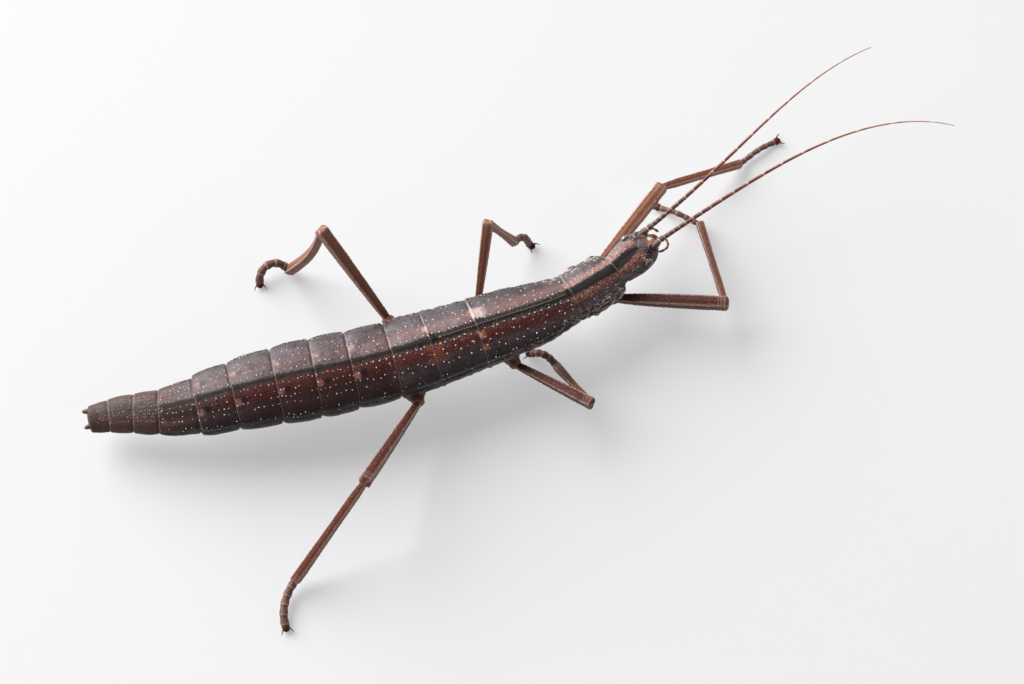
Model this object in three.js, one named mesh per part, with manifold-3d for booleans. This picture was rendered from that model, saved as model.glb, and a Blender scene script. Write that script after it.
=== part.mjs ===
// A two-striped walkingstick, an adult female on the move, at life size.
// Millimetres. +Z is up, +X is the way she walks and +Y is her left.

import * as THREE from 'three';
import { mergeVertices } from 'three/addons/utils/BufferGeometryUtils.js';
import Module from 'manifold-3d';

const wasm = await Module();
wasm.setup();

// ---------------------------------------------------------------- driving dimensions

const GAP = 0.2; // clearance between neighbouring pieces

// The lengths of the trunk from tail to head. heading is the way each one points, in
// degrees from +X towards her left; height is that of its middle line over the floor;
// rear and front are its half widths at its two ends, and bulge what it swells between.
const TRUNK = [
  { name: 'abdomen_10', length: 2.5, heading: -8, height: 4.2, rear: 1.4, front: 1.75, bulge: 0.05 },
  { name: 'abdomen_9', length: 2.8, heading: -14, height: 4.5, rear: 1.85, front: 2.1, bulge: 0.08 },
  { name: 'abdomen_8', length: 2.8, heading: -18, height: 4.8, rear: 2.2, front: 2.4, bulge: 0.08 },
  { name: 'abdomen_7', length: 4.2, heading: -9, height: 5.2, rear: 2.5, front: 3.05, bulge: 0.1 },
  { name: 'abdomen_6', length: 4.2, heading: -4, height: 5.7, rear: 3.4, front: 3.7, bulge: 0.1 },
  { name: 'abdomen_5', length: 4.9, heading: -5, height: 6.1, rear: 3.85, front: 4.15, bulge: 0.12 },
  { name: 'abdomen_4', length: 4.4, heading: -7, height: 6.3, rear: 4.25, front: 4.4, bulge: 0.12 },
  { name: 'abdomen_3', length: 4.1, heading: -6, height: 6.5, rear: 4.45, front: 4.35, bulge: 0.1 },
  { name: 'abdomen_2', length: 4.6, heading: -3.5, height: 6.6, rear: 4.35, front: 4.25, bulge: 0.1 },
  { name: 'median_segment', length: 4.4, heading: -1.5, height: 6.7, rear: 4.3, front: 4.25, bulge: 0.08 },
  { name: 'metathorax', length: 5.4, heading: 1.5, height: 6.9, rear: 4.25, front: 3.9, bulge: 0 },
  { name: 'mesothorax', length: 11.3, heading: 1, height: 7.1, rear: 3.95, front: 2.65, bulge: 0.25 },
  { name: 'prothorax', length: 5.8, heading: 15, height: 7.2, rear: 2.75, front: 2.25, bulge: 0.15 },
];
const TAIL = { x: -47.6, y: 6.1 }; // the end of the abdomen, before the whole is centred
const TRUNK_SIDES = 20;
const BACK = 0.62; // rise of the back over the middle line, as a share of the half width
const BELLY = 0.8; // drop of the belly under it, likewise
const SQUARENESS = 0.86; // below 1 flattens the back and flanks of the section
const SIDE_RIDGE = 0.05; // how far the ridge along each flank stands out, as a share

const HEAD = { length: 6.0, heading: 25.5, height: 7.1, sides: 20 };
// Stations along the head: share of its length, half width, rise of the crown, drop of the jaw.
const HEAD_STATIONS = [
  { at: 0, half: 1.68, crown: 1.25, jaw: 1.35 },
  { at: 0.1, half: 1.86, crown: 1.5, jaw: 1.6 },
  { at: 0.35, half: 2.1, crown: 1.62, jaw: 1.75 },
  { at: 0.62, half: 2.08, crown: 1.55, jaw: 1.75 },
  { at: 0.82, half: 1.82, crown: 1.3, jaw: 1.55 },
  { at: 0.95, half: 1.2, crown: 0.9, jaw: 1.2 },
  { at: 1, half: 0.85, crown: 0.55, jaw: 0.9 },
];
// Places on the head are measured forward of its rear end, out to the side and up.
const EYE = { forward: 3.35, out: 1.83, up: 0.72, radius: 0.55 };
const SCAPE = { forward: 4.7, out: 1.05, up: 0.85, length: 1.35, radius: 0.42, turnOut: -4, lift: 6 };
const PEDICEL = { length: 0.6, radius: 0.34 };
const FLAGELLUM = { joints: 24, base: 0.3, tip: 0.25, swell: 0.03, sides: 6 };
// Each feeler leaves the head at a heading and lift, then bends by two amounts: one grows
// evenly along it and the other mostly near its tip.
const ANTENNAE = {
  left: { length: 32.8, heading: 22.2, lift: 3.1, bend: 17.6, curl: -37.6 },
  right: { length: 35.7, heading: 15.1, lift: 6.8, bend: -3.6, curl: -50.5 },
};
const MOUTH = { forward: 5.5, up: -1.0, length: 1.5, half: 1.15, rise: 0.75 };
// A palp bows out, then closes in front of the jaws and dips.
const PALP = {
  forward: 5.6, out: 1.35, up: -1.1, radius: 0.26, reach: 1.85, bow: 0.4, close: 0.85, dip: 0.5,
};

const CERCUS = { reach: 0.5, out: 0.85, up: 0.25, length: 0.9, radius: 0.32, tip: 0.25, turn: 8, drop: 4 };
const PLATE = { reach: 0.9, length: 8.4, drop: 1.6, depth: 0.75, half: [0.75, 1.0, 1.25, 1.3] };

// Leg sizes. at and out place the joint of coxa and femur along the trunk and to its side,
// and drop sets it under the middle line; hip does the same for the coxa's root.
const LEGS = {
  fore: {
    at: 60.0, out: 1.95, drop: 2.4, hip: { at: 58.2, out: 1.3, drop: 1.3, radius: 1.35 },
    femur: 12.4, tibia: 12.3, tarsus: 5.2, pad: 0.34, coxaRadius: 0.75,
    femurRadius: [0.44, 0.62, 0.7, 0.74, 0.77, 0.74], tibiaRadius: [0.44, 0.42, 0.42, 0.46, 0.5],
  },
  middle: {
    at: 46.8, out: 4.2, drop: 2.3, hip: { at: 47.2, out: 2.5, drop: 2.3, radius: 1.35 },
    femur: 9.7, tibia: 8.75, tarsus: 3.7, pad: 0.46, coxaRadius: 0.8,
    femurRadius: [0.38, 0.46, 0.53, 0.58, 0.64, 0.64], tibiaRadius: [0.42, 0.36, 0.38, 0.46, 0.52],
  },
  hind: {
    at: 35.1, out: 5.2, drop: 1.3, hip: { at: 36.0, out: 3.1, drop: 1.9, radius: 1.5 },
    femur: 13.8, tibia: 15.1, tarsus: 5.4, pad: 0.5, coxaRadius: 0.85,
    femurRadius: [0.42, 0.52, 0.6, 0.66, 0.71, 0.71], tibiaRadius: [0.5, 0.5, 0.5, 0.52, 0.54, 0.57, 0.6],
  },
};
const LIMB_SIDES = 8;
const LIMB_SECTION = [1.02, 1.16]; // a limb's sides and the keels between them, as shares of its radius
const KNEE_REACH = 0.6; // how far past the middle of the knee the tibia's own shape starts
const LONG_FALL = 3.3; // the height of an ankle from which the foot comes down over its whole length
const TARSUS = { segments: 5, waist: 0.82, height: 0.8, sides: 8 }; // both as shares of the pad's radius
const PAD = { length: 0.6, radius: 0.4, sides: 8 };
const CLAW = { start: 0.1, length: 1.0, radius: 0.23, tip: 0.1, spread: 52, arch: 0.3, dip: 0.16, sides: 6 };

// How each leg is held: how far the hip swings forward, the femur's heading and lift, the
// tibia's heading and how far its middle sags, the ankle's height, and the foot's heading,
// bend and arch along its length.
const STANCE = [
  {
    leg: 'fore', side: 'right', swing: 0.15, femur: -21.5, lift: 2, tibia: 84.3,
    sag: 0, ankle: 0.9, foot: 134, bend: 4, arch: 0.7,
  },
  {
    leg: 'fore', side: 'left', swing: 0, femur: 33, lift: 10, tibia: 12,
    sag: 0, ankle: 0.9, foot: 26, bend: -18, arch: 0.4,
  },
  {
    leg: 'middle', side: 'right', swing: 0.7, femur: -48.5, lift: 6.1, tibia: 103,
    sag: 0, ankle: 0.7, foot: 110, bend: 50, arch: 0.8,
  },
  {
    leg: 'middle', side: 'left', swing: -0.85, femur: 62.4, lift: 44.4, tibia: 0.4,
    sag: 0, ankle: 3.3, foot: 39, bend: -95, arch: 0.9,
  },
  {
    leg: 'hind', side: 'right', swing: 1, femur: -134.6, lift: 25.9, tibia: -151.9,
    sag: 0, ankle: 1.5, foot: -146, bend: 56, arch: 0.5,
  },
  {
    leg: 'hind', side: 'left', swing: 0.3, femur: 118, lift: 45, tibia: 150.3,
    sag: 0.7, ankle: 0.7, foot: 128, bend: 132, arch: 1.5,
  },
];

// ---------------------------------------------------------------- finishes

const FINISH = {
  cuticle: new THREE.MeshStandardMaterial({ color: 0x3b2b30, roughness: 0.5, metalness: 0 }),
  hindSegments: new THREE.MeshStandardMaterial({ color: 0x46332f, roughness: 0.55, metalness: 0 }),
  leg: new THREE.MeshStandardMaterial({ color: 0x4a2f2c, roughness: 0.5, metalness: 0 }),
  foot: new THREE.MeshStandardMaterial({ color: 0x5a3a2e, roughness: 0.6, metalness: 0 }),
  claw: new THREE.MeshStandardMaterial({ color: 0x1c1412, roughness: 0.3, metalness: 0 }),
  eye: new THREE.MeshStandardMaterial({ color: 0x3a3a38, roughness: 0.2, metalness: 0 }),
  feeler: new THREE.MeshStandardMaterial({ color: 0x6b3224, roughness: 0.5, metalness: 0 }),
  mouth: new THREE.MeshStandardMaterial({ color: 0xa8612a, roughness: 0.45, metalness: 0 }),
};

// ---------------------------------------------------------------- small helpers

const radians = THREE.MathUtils.degToRad;
const lerp = THREE.MathUtils.lerp;
const UP = new THREE.Vector3(0, 0, 1);

// A unit vector from a heading round the vertical and a lift over the level.
function pointing(heading, lift = 0) {
  const h = radians(heading);
  const e = radians(lift);
  return new THREE.Vector3(Math.cos(h) * Math.cos(e), Math.sin(h) * Math.cos(e), Math.sin(e));
}

// A power that keeps the sign of what it raises.
function signedPower(value, power) {
  return Math.sign(value) * Math.abs(value) ** power;
}

// A closed solid through rings of points, each ring running anticlockwise when seen from
// the far end of the row, with a fan over the first ring and the last.
function loft(rings) {
  const sides = rings[0].length;
  const positions = rings.flat().flatMap((p) => [p.x, p.y, p.z]);
  const middle = (ring) => ring.reduce((sum, p) => sum.add(p), new THREE.Vector3()).divideScalar(sides);
  positions.push(...middle(rings[0]).toArray(), ...middle(rings.at(-1)).toArray());
  const first = rings.length * sides;
  const last = (rings.length - 1) * sides;
  const index = [];
  for (let i = 0; i < sides; i += 1) {
    const j = (i + 1) % sides;
    for (let r = 0; r + 1 < rings.length; r += 1) {
      const a = r * sides;
      const b = a + sides;
      index.push(a + i, a + j, b + j, a + i, b + j, b + i);
    }
    index.push(first, j, i, first + 1, last + i, last + j);
  }
  const geometry = new THREE.BufferGeometry();
  geometry.setAttribute('position', new THREE.Float32BufferAttribute(positions, 3));
  geometry.setIndex(index);
  return geometry;
}

// A ring of points across a direction. reach gives the radius at each turn of the ring,
// which starts level at the left of the direction and rises over its top.
function ringAcross(centre, direction, sides, reach) {
  const left = new THREE.Vector3().crossVectors(UP, direction).normalize();
  const top = new THREE.Vector3().crossVectors(direction, left);
  return Array.from({ length: sides }, (_, i) => {
    const turn = (2 * Math.PI * i) / sides;
    const radius = reach(turn, i);
    return centre.clone()
      .addScaledVector(left, radius * Math.cos(turn))
      .addScaledVector(top, radius * Math.sin(turn));
  });
}

// ---------------------------------------------------------------- joining and cutting

function toSolid(geometry) {
  const bare = geometry.clone();
  bare.deleteAttribute('normal');
  bare.deleteAttribute('uv');
  const merged = mergeVertices(bare, 1e-4);
  return new wasm.Manifold(new wasm.Mesh({
    numProp: 3,
    vertProperties: new Float32Array(merged.attributes.position.array),
    triVerts: new Uint32Array(merged.index.array),
  }));
}

function toGeometry(solid) {
  const mesh = solid.getMesh();
  const geometry = new THREE.BufferGeometry();
  geometry.setAttribute('position', new THREE.Float32BufferAttribute(mesh.vertProperties, 3));
  geometry.setIndex(Array.from(mesh.triVerts));
  return geometry;
}

// A piece with its neighbours' grown shapes cut away, so that it meets them at the gap.
function cutBy(geometry, ...neighbours) {
  return toGeometry(neighbours.reduce((solid, other) => solid.subtract(toSolid(other)), toSolid(geometry)));
}

function joined(first, ...others) {
  return toGeometry(others.reduce((solid, other) => solid.add(toSolid(other)), toSolid(first)));
}

// ---------------------------------------------------------------- the middle line

const LENGTHS = [...TRUNK, HEAD];
const STARTS = LENGTHS.map((_, i) => LENGTHS.slice(0, i).reduce((sum, row) => sum + row.length, 0));
const BODY_LENGTH = STARTS.at(-1) + HEAD.length;
const HEAD_START = STARTS.at(-1);

// A column of the trunk's table at a place s along the body, read between the middles of
// its lengths.
function blend(column, s) {
  const middles = LENGTHS.map((row, i) => STARTS[i] + row.length / 2);
  if (s <= middles[0]) return LENGTHS[0][column];
  if (s >= middles.at(-1)) return HEAD[column];
  const i = middles.findIndex((m) => m > s) - 1;
  const t = (s - middles[i]) / (middles[i + 1] - middles[i]);
  return lerp(LENGTHS[i][column], LENGTHS[i + 1][column], t);
}

const STEPS = 680; // steps in which the middle line is followed
const LINE = [new THREE.Vector3(TAIL.x, TAIL.y, 0)];
for (let i = 0; i < STEPS; i += 1) {
  const heading = blend('heading', ((i + 0.5) * BODY_LENGTH) / STEPS);
  LINE.push(LINE[i].clone().addScaledVector(pointing(heading), BODY_LENGTH / STEPS));
}

// The point at a place s along the body, out to her left and up from the middle line.
function onBody(s, out = 0, up = 0) {
  const place = THREE.MathUtils.clamp(s / BODY_LENGTH, 0, 1) * STEPS;
  const i = Math.min(Math.floor(place), STEPS - 1);
  const point = LINE[i].clone().lerp(LINE[i + 1], place - i);
  const heading = blend('heading', s);
  const beyond = s - THREE.MathUtils.clamp(s, 0, BODY_LENGTH);
  point.z = blend('height', s);
  return point.addScaledVector(pointing(heading), beyond)
    .addScaledVector(pointing(heading + 90), out)
    .addScaledVector(UP, up);
}

// A ring of the body's section at s: half is its half width, crown and jaw its rise and
// drop, and grow makes it larger all round.
function bodyRing(s, half, crown, jaw, sides, grow = 0) {
  return Array.from({ length: sides }, (_, i) => {
    const turn = (2 * Math.PI * i) / sides;
    const side = Math.cos(turn);
    const rise = Math.sin(turn);
    const ridge = 1 + SIDE_RIDGE * Math.max(0, Math.abs(side) - 0.95) / 0.05;
    const out = signedPower(side, SQUARENESS) * (half * ridge + grow);
    const up = signedPower(rise, SQUARENESS) * ((rise > 0 ? crown : jaw) + grow);
    return onBody(s, out, up);
  });
}

// ---------------------------------------------------------------- trunk and head

// The rings of one length of the trunk. grow swells it and lengthens it at both ends.
function trunkRings(row, start, grow = 0) {
  const stations = row.length > 8 ? [0, 0.15, 0.4, 0.7, 0.9, 1] : [0, 0.3, 0.7, 1];
  const inset = grow ? -grow : GAP / 2;
  return stations.map((t) => {
    const half = lerp(row.rear, row.front, t) + row.bulge * Math.sin(Math.PI * t);
    const s = start + lerp(inset, row.length - inset, t);
    return bodyRing(s, half, BACK * half, BELLY * half, TRUNK_SIDES, grow);
  });
}

function headRings(grow = 0) {
  const inset = grow ? -grow : GAP / 2;
  return HEAD_STATIONS.map(({ at, half, crown, jaw }) => {
    const s = HEAD_START + lerp(inset, HEAD.length + grow, at);
    return bodyRing(s, half, crown, jaw, HEAD.sides, grow);
  });
}

function trunkNear(name, grow = GAP) {
  const i = TRUNK.findIndex((row) => row.name === name);
  return loft(trunkRings(TRUNK[i], STARTS[i], grow));
}

// A point on the head: forward of its rear end, out to her left and up.
function onHead(forward, out, up) {
  return onBody(HEAD_START + forward, out, up);
}

const grownHead = loft(headRings(GAP));

function eye(side) {
  const ball = new THREE.SphereGeometry(EYE.radius, 12, 8);
  const centre = onHead(EYE.forward, side * EYE.out, EYE.up);
  ball.translate(centre.x, centre.y, centre.z);
  return cutBy(ball, loft(headRings(GAP / 2)));
}

// The lip and jaws under the front of the face.
function mouthRings(grow = 0) {
  return [0, 0.5, 1].map((t) => {
    const swell = 1 - 0.35 * t * t;
    const centre = onHead(MOUTH.forward + t * (MOUTH.length + grow), 0, MOUTH.up - 0.25 * t);
    return ringAcross(centre, pointing(HEAD.heading, -10), 10,
      (turn) => grow + swell * Math.hypot(MOUTH.half * Math.cos(turn), MOUTH.rise * Math.sin(turn)));
  });
}

// A palp: a short jointed arm that curves forward and inward beside the jaws.
function palp(side) {
  const steps = 6;
  const rings = Array.from({ length: steps + 1 }, (_, i) => {
    const t = i / steps;
    const out = PALP.out + PALP.bow * Math.sin(Math.PI * t) - PALP.close * t * t;
    const centre = onHead(PALP.forward + PALP.reach * Math.sin(1.4 * t), side * out,
      PALP.up - PALP.dip * t * t);
    const heading = HEAD.heading + side * (50 - 110 * t);
    return ringAcross(centre, pointing(heading, -15), 6, () => PALP.radius);
  });
  return cutBy(loft(rings), grownHead, loft(mouthRings(GAP)));
}

// ---------------------------------------------------------------- feelers

function scapeDirection(side) {
  return pointing(HEAD.heading + side * SCAPE.turnOut, SCAPE.lift);
}

function scapeEnd(side) {
  return onHead(SCAPE.forward, side * SCAPE.out, SCAPE.up)
    .addScaledVector(scapeDirection(side), SCAPE.length);
}

// The two thick joints at the root of a feeler, the second slimmer than the first.
function antennaBase(side, hold) {
  const root = onHead(SCAPE.forward, side * SCAPE.out, SCAPE.up);
  const direction = scapeDirection(side);
  const next = pointing(hold.heading, hold.lift);
  const ring = (centre, heading, radius) => ringAcross(centre, heading, 8, () => radius);
  const end = scapeEnd(side);
  return cutBy(loft([
    ring(root, direction, 0.8 * SCAPE.radius),
    ring(root.clone().lerp(end, 0.45), direction, SCAPE.radius),
    ring(root.clone().lerp(end, 0.9), direction, 0.92 * SCAPE.radius),
    ring(end, direction, PEDICEL.radius),
    ring(end.clone().addScaledVector(next, PEDICEL.length), next, PEDICEL.radius),
  ]), grownHead);
}

// The lash of a feeler: slim joints, each a little thicker at its far end.
function flagellum(side, hold) {
  const rings = [];
  const point = scapeEnd(side).addScaledVector(pointing(hold.heading, hold.lift), PEDICEL.length + GAP);
  const step = hold.length / FLAGELLUM.joints;
  for (let i = 0; i <= FLAGELLUM.joints; i += 1) {
    const t = i / FLAGELLUM.joints;
    const direction = pointing(hold.heading + hold.bend * t + hold.curl * t ** 3, hold.lift);
    const radius = lerp(FLAGELLUM.base, FLAGELLUM.tip, t);
    rings.push(ringAcross(point, direction, FLAGELLUM.sides, () => radius + FLAGELLUM.swell));
    if (i < FLAGELLUM.joints) {
      const waist = point.clone().addScaledVector(direction, 0.15 * step);
      rings.push(ringAcross(waist, direction, FLAGELLUM.sides, () => radius));
    }
    point.addScaledVector(direction, step);
  }
  return loft(rings);
}

// ---------------------------------------------------------------- tail

function cercus(side) {
  const root = onBody(CERCUS.reach, side * CERCUS.out, CERCUS.up);
  const direction = pointing(TRUNK[0].heading + 180 - side * CERCUS.turn, -CERCUS.drop);
  const rings = [0, 0.6, 1].map((t) => {
    const centre = root.clone().addScaledVector(direction, t * CERCUS.length);
    return ringAcross(centre, direction, 8, () => lerp(CERCUS.radius, CERCUS.tip, t * t));
  });
  return cutBy(loft(rings), trunkNear('abdomen_10'));
}

// The boat-shaped plate under the end of the abdomen.
function genitalPlate() {
  const rings = PLATE.half.map((half, i) => {
    const t = i / (PLATE.half.length - 1);
    const below = new THREE.Vector3(0, 0, -PLATE.drop * (1 + 0.12 * t));
    return bodyRing(PLATE.reach + t * PLATE.length, half, 0.4, PLATE.depth, 12).map((p) => p.add(below));
  });
  return cutBy(loft(rings), trunkNear('abdomen_10'), trunkNear('abdomen_9'), trunkNear('abdomen_8'),
    trunkNear('abdomen_7'));
}

// ---------------------------------------------------------------- legs

// A limb from one point to another with keels along it: radii are read along its length, and
// its middle sags under the straight line.
function limbRings(from, to, radii, grow = 0, sag = 0) {
  const direction = to.clone().sub(from).normalize();
  const left = new THREE.Vector3().crossVectors(UP, direction).normalize();
  const under = new THREE.Vector3().crossVectors(left, direction);
  const first = from.clone().addScaledVector(direction, -grow);
  const last = to.clone().addScaledVector(direction, grow);
  return radii.map((radius, i) => {
    const t = i / (radii.length - 1);
    const centre = first.clone().lerp(last, t).addScaledVector(under, sag * Math.sin(Math.PI * t));
    return ringAcross(centre, direction, LIMB_SIDES, (_, n) => (radius + grow) * LIMB_SECTION[n % 2]);
  });
}

// The joints of one leg, worked out from the hip to the ankle: the tibia drops by what
// brings the ankle to its height over the floor.
function joints(hold) {
  const size = LEGS[hold.leg];
  const side = hold.side === 'left' ? 1 : -1;
  const root = onBody(size.hip.at, side * size.hip.out, -size.hip.drop);
  const hip = onBody(size.at + hold.swing, side * size.out, -size.drop);
  const knee = hip.clone().addScaledVector(pointing(hold.femur, hold.lift), size.femur);
  const fall = THREE.MathUtils.radToDeg(Math.asin((knee.z - hold.ankle) / size.tibia));
  const shin = pointing(hold.tibia, -fall);
  const ankle = knee.clone().addScaledVector(shin, size.tibia);
  const top = knee.clone().addScaledVector(shin, KNEE_REACH);
  return { size, root, hip, knee, top, ankle };
}

// How high the middle line of a foot is at a share t of its length.
function footHeight(hold, t) {
  const fall = Math.max(0, 1 - (t * LONG_FALL) / hold.ankle) ** 1.5;
  return lerp(TARSUS.height * LEGS[hold.leg].pad, hold.ankle, fall) + hold.arch * Math.sin(Math.PI * t);
}

// The middle line of a foot: from the ankle down onto the floor, arched and curving evenly.
// Each entry holds a point and the way it heads there.
function footLine(hold, ankle) {
  const steps = 2 * TARSUS.segments;
  const step = LEGS[hold.leg].tarsus / steps;
  const point = ankle.clone();
  const line = [];
  for (let i = 0; i <= steps; i += 1) {
    const t = i / steps;
    point.z = footHeight(hold, t);
    const rise = footHeight(hold, Math.min(1, t + 1 / steps)) - point.z;
    const slope = THREE.MathUtils.radToDeg(Math.asin(THREE.MathUtils.clamp(rise / step, -0.95, 0.95)));
    const direction = pointing(hold.foot + hold.bend * t, slope);
    line.push({ point: point.clone(), direction });
    point.addScaledVector(direction, step);
  }
  return line;
}

// A foot of five joints. Each swells into a pad under its far end, flat where it stands.
function tarsusRings(line, pad) {
  return line.map(({ point, direction }, i) => {
    const radius = i % 2 ? TARSUS.waist * pad : pad;
    return ringAcross(point, direction, TARSUS.sides, () => radius).map((p) => p.setZ(Math.max(0, p.z)));
  });
}

// Two hooked claws and the round pad between them, on the floor.
function claws(hold, line) {
  const { point, direction } = line.at(-1);
  const heading = hold.foot + hold.bend;
  const root = point.clone().addScaledVector(direction, GAP);
  const onFloor = (ring) => ring.map((p) => p.setZ(Math.max(0, p.z)));
  const pad = [0, 0.5, 1].map((t) => {
    const centre = root.clone().addScaledVector(direction, PAD.length * t);
    return onFloor(ringAcross(centre, direction, PAD.sides, () => PAD.radius * (1 - 0.4 * t * t)));
  });
  const hooks = [1, -1].map((side) => [0, 0.35, 0.7, 1].map((t) => {
    const out = pointing(heading + side * CLAW.spread * (1 - 0.25 * t));
    const centre = root.clone().addScaledVector(out, CLAW.start + CLAW.length * t);
    centre.z += CLAW.arch * Math.sin(0.8 * Math.PI * t) - CLAW.dip * t;
    return onFloor(ringAcross(centre, out, CLAW.sides, () => lerp(CLAW.radius, CLAW.tip, t)));
  }));
  return joined(loft(pad), ...hooks.map(loft));
}

// ---------------------------------------------------------------- the whole insect

const insect = new THREE.Group();
const stance = new THREE.Group();
insect.add(stance);

function add(name, geometry, finish) {
  const mesh = new THREE.Mesh(geometry, finish);
  mesh.name = name;
  stance.add(mesh);
}

TRUNK.forEach((row, i) => {
  add(row.name, loft(trunkRings(row, STARTS[i])), i < 3 ? FINISH.hindSegments : FINISH.cuticle);
});
add('head', loft(headRings()), FINISH.cuticle);

for (const [name, side] of [['left', 1], ['right', -1]]) {
  add(`eye_${name}`, eye(side), FINISH.eye);
  add(`antenna_base_${name}`, antennaBase(side, ANTENNAE[name]), FINISH.cuticle);
  add(`antenna_${name}`, flagellum(side, ANTENNAE[name]), FINISH.feeler);
  add(`palp_${name}`, palp(side), FINISH.mouth);
  add(`cercus_${name}`, cercus(side), FINISH.hindSegments);
}
add('mouthparts', cutBy(loft(mouthRings()), grownHead), FINISH.mouth);
add('genital_plate', genitalPlate(), FINISH.hindSegments);

const HOME = {
  fore: ['prothorax', 'mesothorax'],
  middle: ['mesothorax', 'metathorax'],
  hind: ['median_segment', 'metathorax', 'abdomen_2'],
};
for (const hold of STANCE) {
  const name = `${hold.leg}_${hold.side}`;
  const { size, root, hip, knee, top, ankle } = joints(hold);
  const coxaRadii = [size.hip.radius, 0.9 * size.hip.radius, size.coxaRadius, 0.8 * size.coxaRadius];
  const bodyAround = HOME[hold.leg].map((part) => trunkNear(part));
  add(`coxa_${name}`, cutBy(loft(limbRings(root, hip, coxaRadii)), ...bodyAround), FINISH.cuticle);
  const grownCoxa = loft(limbRings(root, hip, coxaRadii, GAP));
  const femur = limbRings(hip, knee, size.femurRadius);
  add(`femur_${name}`, cutBy(loft(femur), grownCoxa, ...bodyAround), FINISH.leg);
  const grownFemur = loft(limbRings(hip, knee, size.femurRadius, GAP));
  const tibia = limbRings(top, ankle, size.tibiaRadius, 0, hold.sag);
  add(`tibia_${name}`, cutBy(loft(tibia), grownFemur), FINISH.leg);
  const grownTibia = loft(limbRings(top, ankle, size.tibiaRadius, GAP, hold.sag));
  const line = footLine(hold, ankle);
  add(`tarsus_${name}`, cutBy(loft(tarsusRings(line, size.pad)), grownTibia), FINISH.foot);
  add(`claws_${name}`, claws(hold, line), FINISH.claw);
}

// Stand the insect on the floor with the origin under the middle of its box.
const box = new THREE.Box3().setFromObject(stance);
stance.position.set(-(box.min.x + box.max.x) / 2, -(box.min.y + box.max.y) / 2, -box.min.z);

export default insect;
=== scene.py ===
"""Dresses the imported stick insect: an adult female two-striped walkingstick, at life size.

Sizes are in millimetres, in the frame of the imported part: +X the way she walks, +Y her left
and +Z up. A mesh is turned into metres when it is made. A place along the body, s, counts from
the tail. Out is to the left of the body's middle line and up is over it.
"""

import math
from collections import namedtuple
from types import SimpleNamespace as Sizes

import bpy
import numpy as np
from mathutils import Matrix, Vector


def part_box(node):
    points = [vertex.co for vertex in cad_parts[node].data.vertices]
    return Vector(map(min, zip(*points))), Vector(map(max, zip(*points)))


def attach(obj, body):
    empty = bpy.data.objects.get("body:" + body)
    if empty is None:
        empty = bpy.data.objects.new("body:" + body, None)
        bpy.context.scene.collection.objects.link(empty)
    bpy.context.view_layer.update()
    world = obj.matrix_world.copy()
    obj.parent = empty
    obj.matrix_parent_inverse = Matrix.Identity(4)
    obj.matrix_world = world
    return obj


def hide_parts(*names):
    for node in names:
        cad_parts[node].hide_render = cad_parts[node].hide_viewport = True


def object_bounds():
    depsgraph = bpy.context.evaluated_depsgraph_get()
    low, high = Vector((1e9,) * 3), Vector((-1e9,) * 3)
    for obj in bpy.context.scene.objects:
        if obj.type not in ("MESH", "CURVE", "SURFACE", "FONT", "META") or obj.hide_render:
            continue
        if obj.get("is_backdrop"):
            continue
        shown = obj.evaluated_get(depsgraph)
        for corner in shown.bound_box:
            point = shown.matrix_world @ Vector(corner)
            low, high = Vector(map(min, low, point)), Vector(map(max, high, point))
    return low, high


bl_info = {
    "name": "Stick insect",
    "version": (1, 0, 0),
    "blender": (4, 5, 0),
    "location": "View3D > Sidebar > Insect",
    "description": "Dresses a walkingstick in skin, granules, feelers, eyes and claws",
    "category": "Add Mesh",
}

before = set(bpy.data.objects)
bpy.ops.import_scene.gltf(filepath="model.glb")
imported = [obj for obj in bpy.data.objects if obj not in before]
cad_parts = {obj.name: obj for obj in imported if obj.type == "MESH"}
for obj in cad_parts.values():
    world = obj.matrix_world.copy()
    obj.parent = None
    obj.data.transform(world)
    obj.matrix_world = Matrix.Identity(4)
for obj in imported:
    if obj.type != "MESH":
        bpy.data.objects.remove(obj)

# ------------------------------------------------------------------ measures of the body

MM = 0.001

Length = namedtuple("Length", "name length heading height rear front bulge")
# The lengths of the trunk from tail to head: how long, the way each points in degrees, the
# height of its middle line, its half widths at the rear and the front, and its swell.
TRUNK = [
    Length("abdomen_10", 2.5, -8, 4.2, 1.4, 1.75, 0.05),
    Length("abdomen_9", 2.8, -14, 4.5, 1.85, 2.1, 0.08),
    Length("abdomen_8", 2.8, -18, 4.8, 2.2, 2.4, 0.08),
    Length("abdomen_7", 4.2, -9, 5.2, 2.5, 3.05, 0.1),
    Length("abdomen_6", 4.2, -4, 5.7, 3.4, 3.7, 0.1),
    Length("abdomen_5", 4.9, -5, 6.1, 3.85, 4.15, 0.12),
    Length("abdomen_4", 4.4, -7, 6.3, 4.25, 4.4, 0.12),
    Length("abdomen_3", 4.1, -6, 6.5, 4.45, 4.35, 0.1),
    Length("abdomen_2", 4.6, -3.5, 6.6, 4.35, 4.25, 0.1),
    Length("median_segment", 4.4, -1.5, 6.7, 4.3, 4.25, 0.08),
    Length("metathorax", 5.4, 1.5, 6.9, 4.25, 3.9, 0),
    Length("mesothorax", 11.3, 1, 7.1, 3.95, 2.65, 0.25),
    Length("prothorax", 5.8, 15, 7.2, 2.75, 2.25, 0.15),
]
HEAD = Length("head", 6.0, 25.5, 7.1, 1.75, 0.85, 0)
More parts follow.
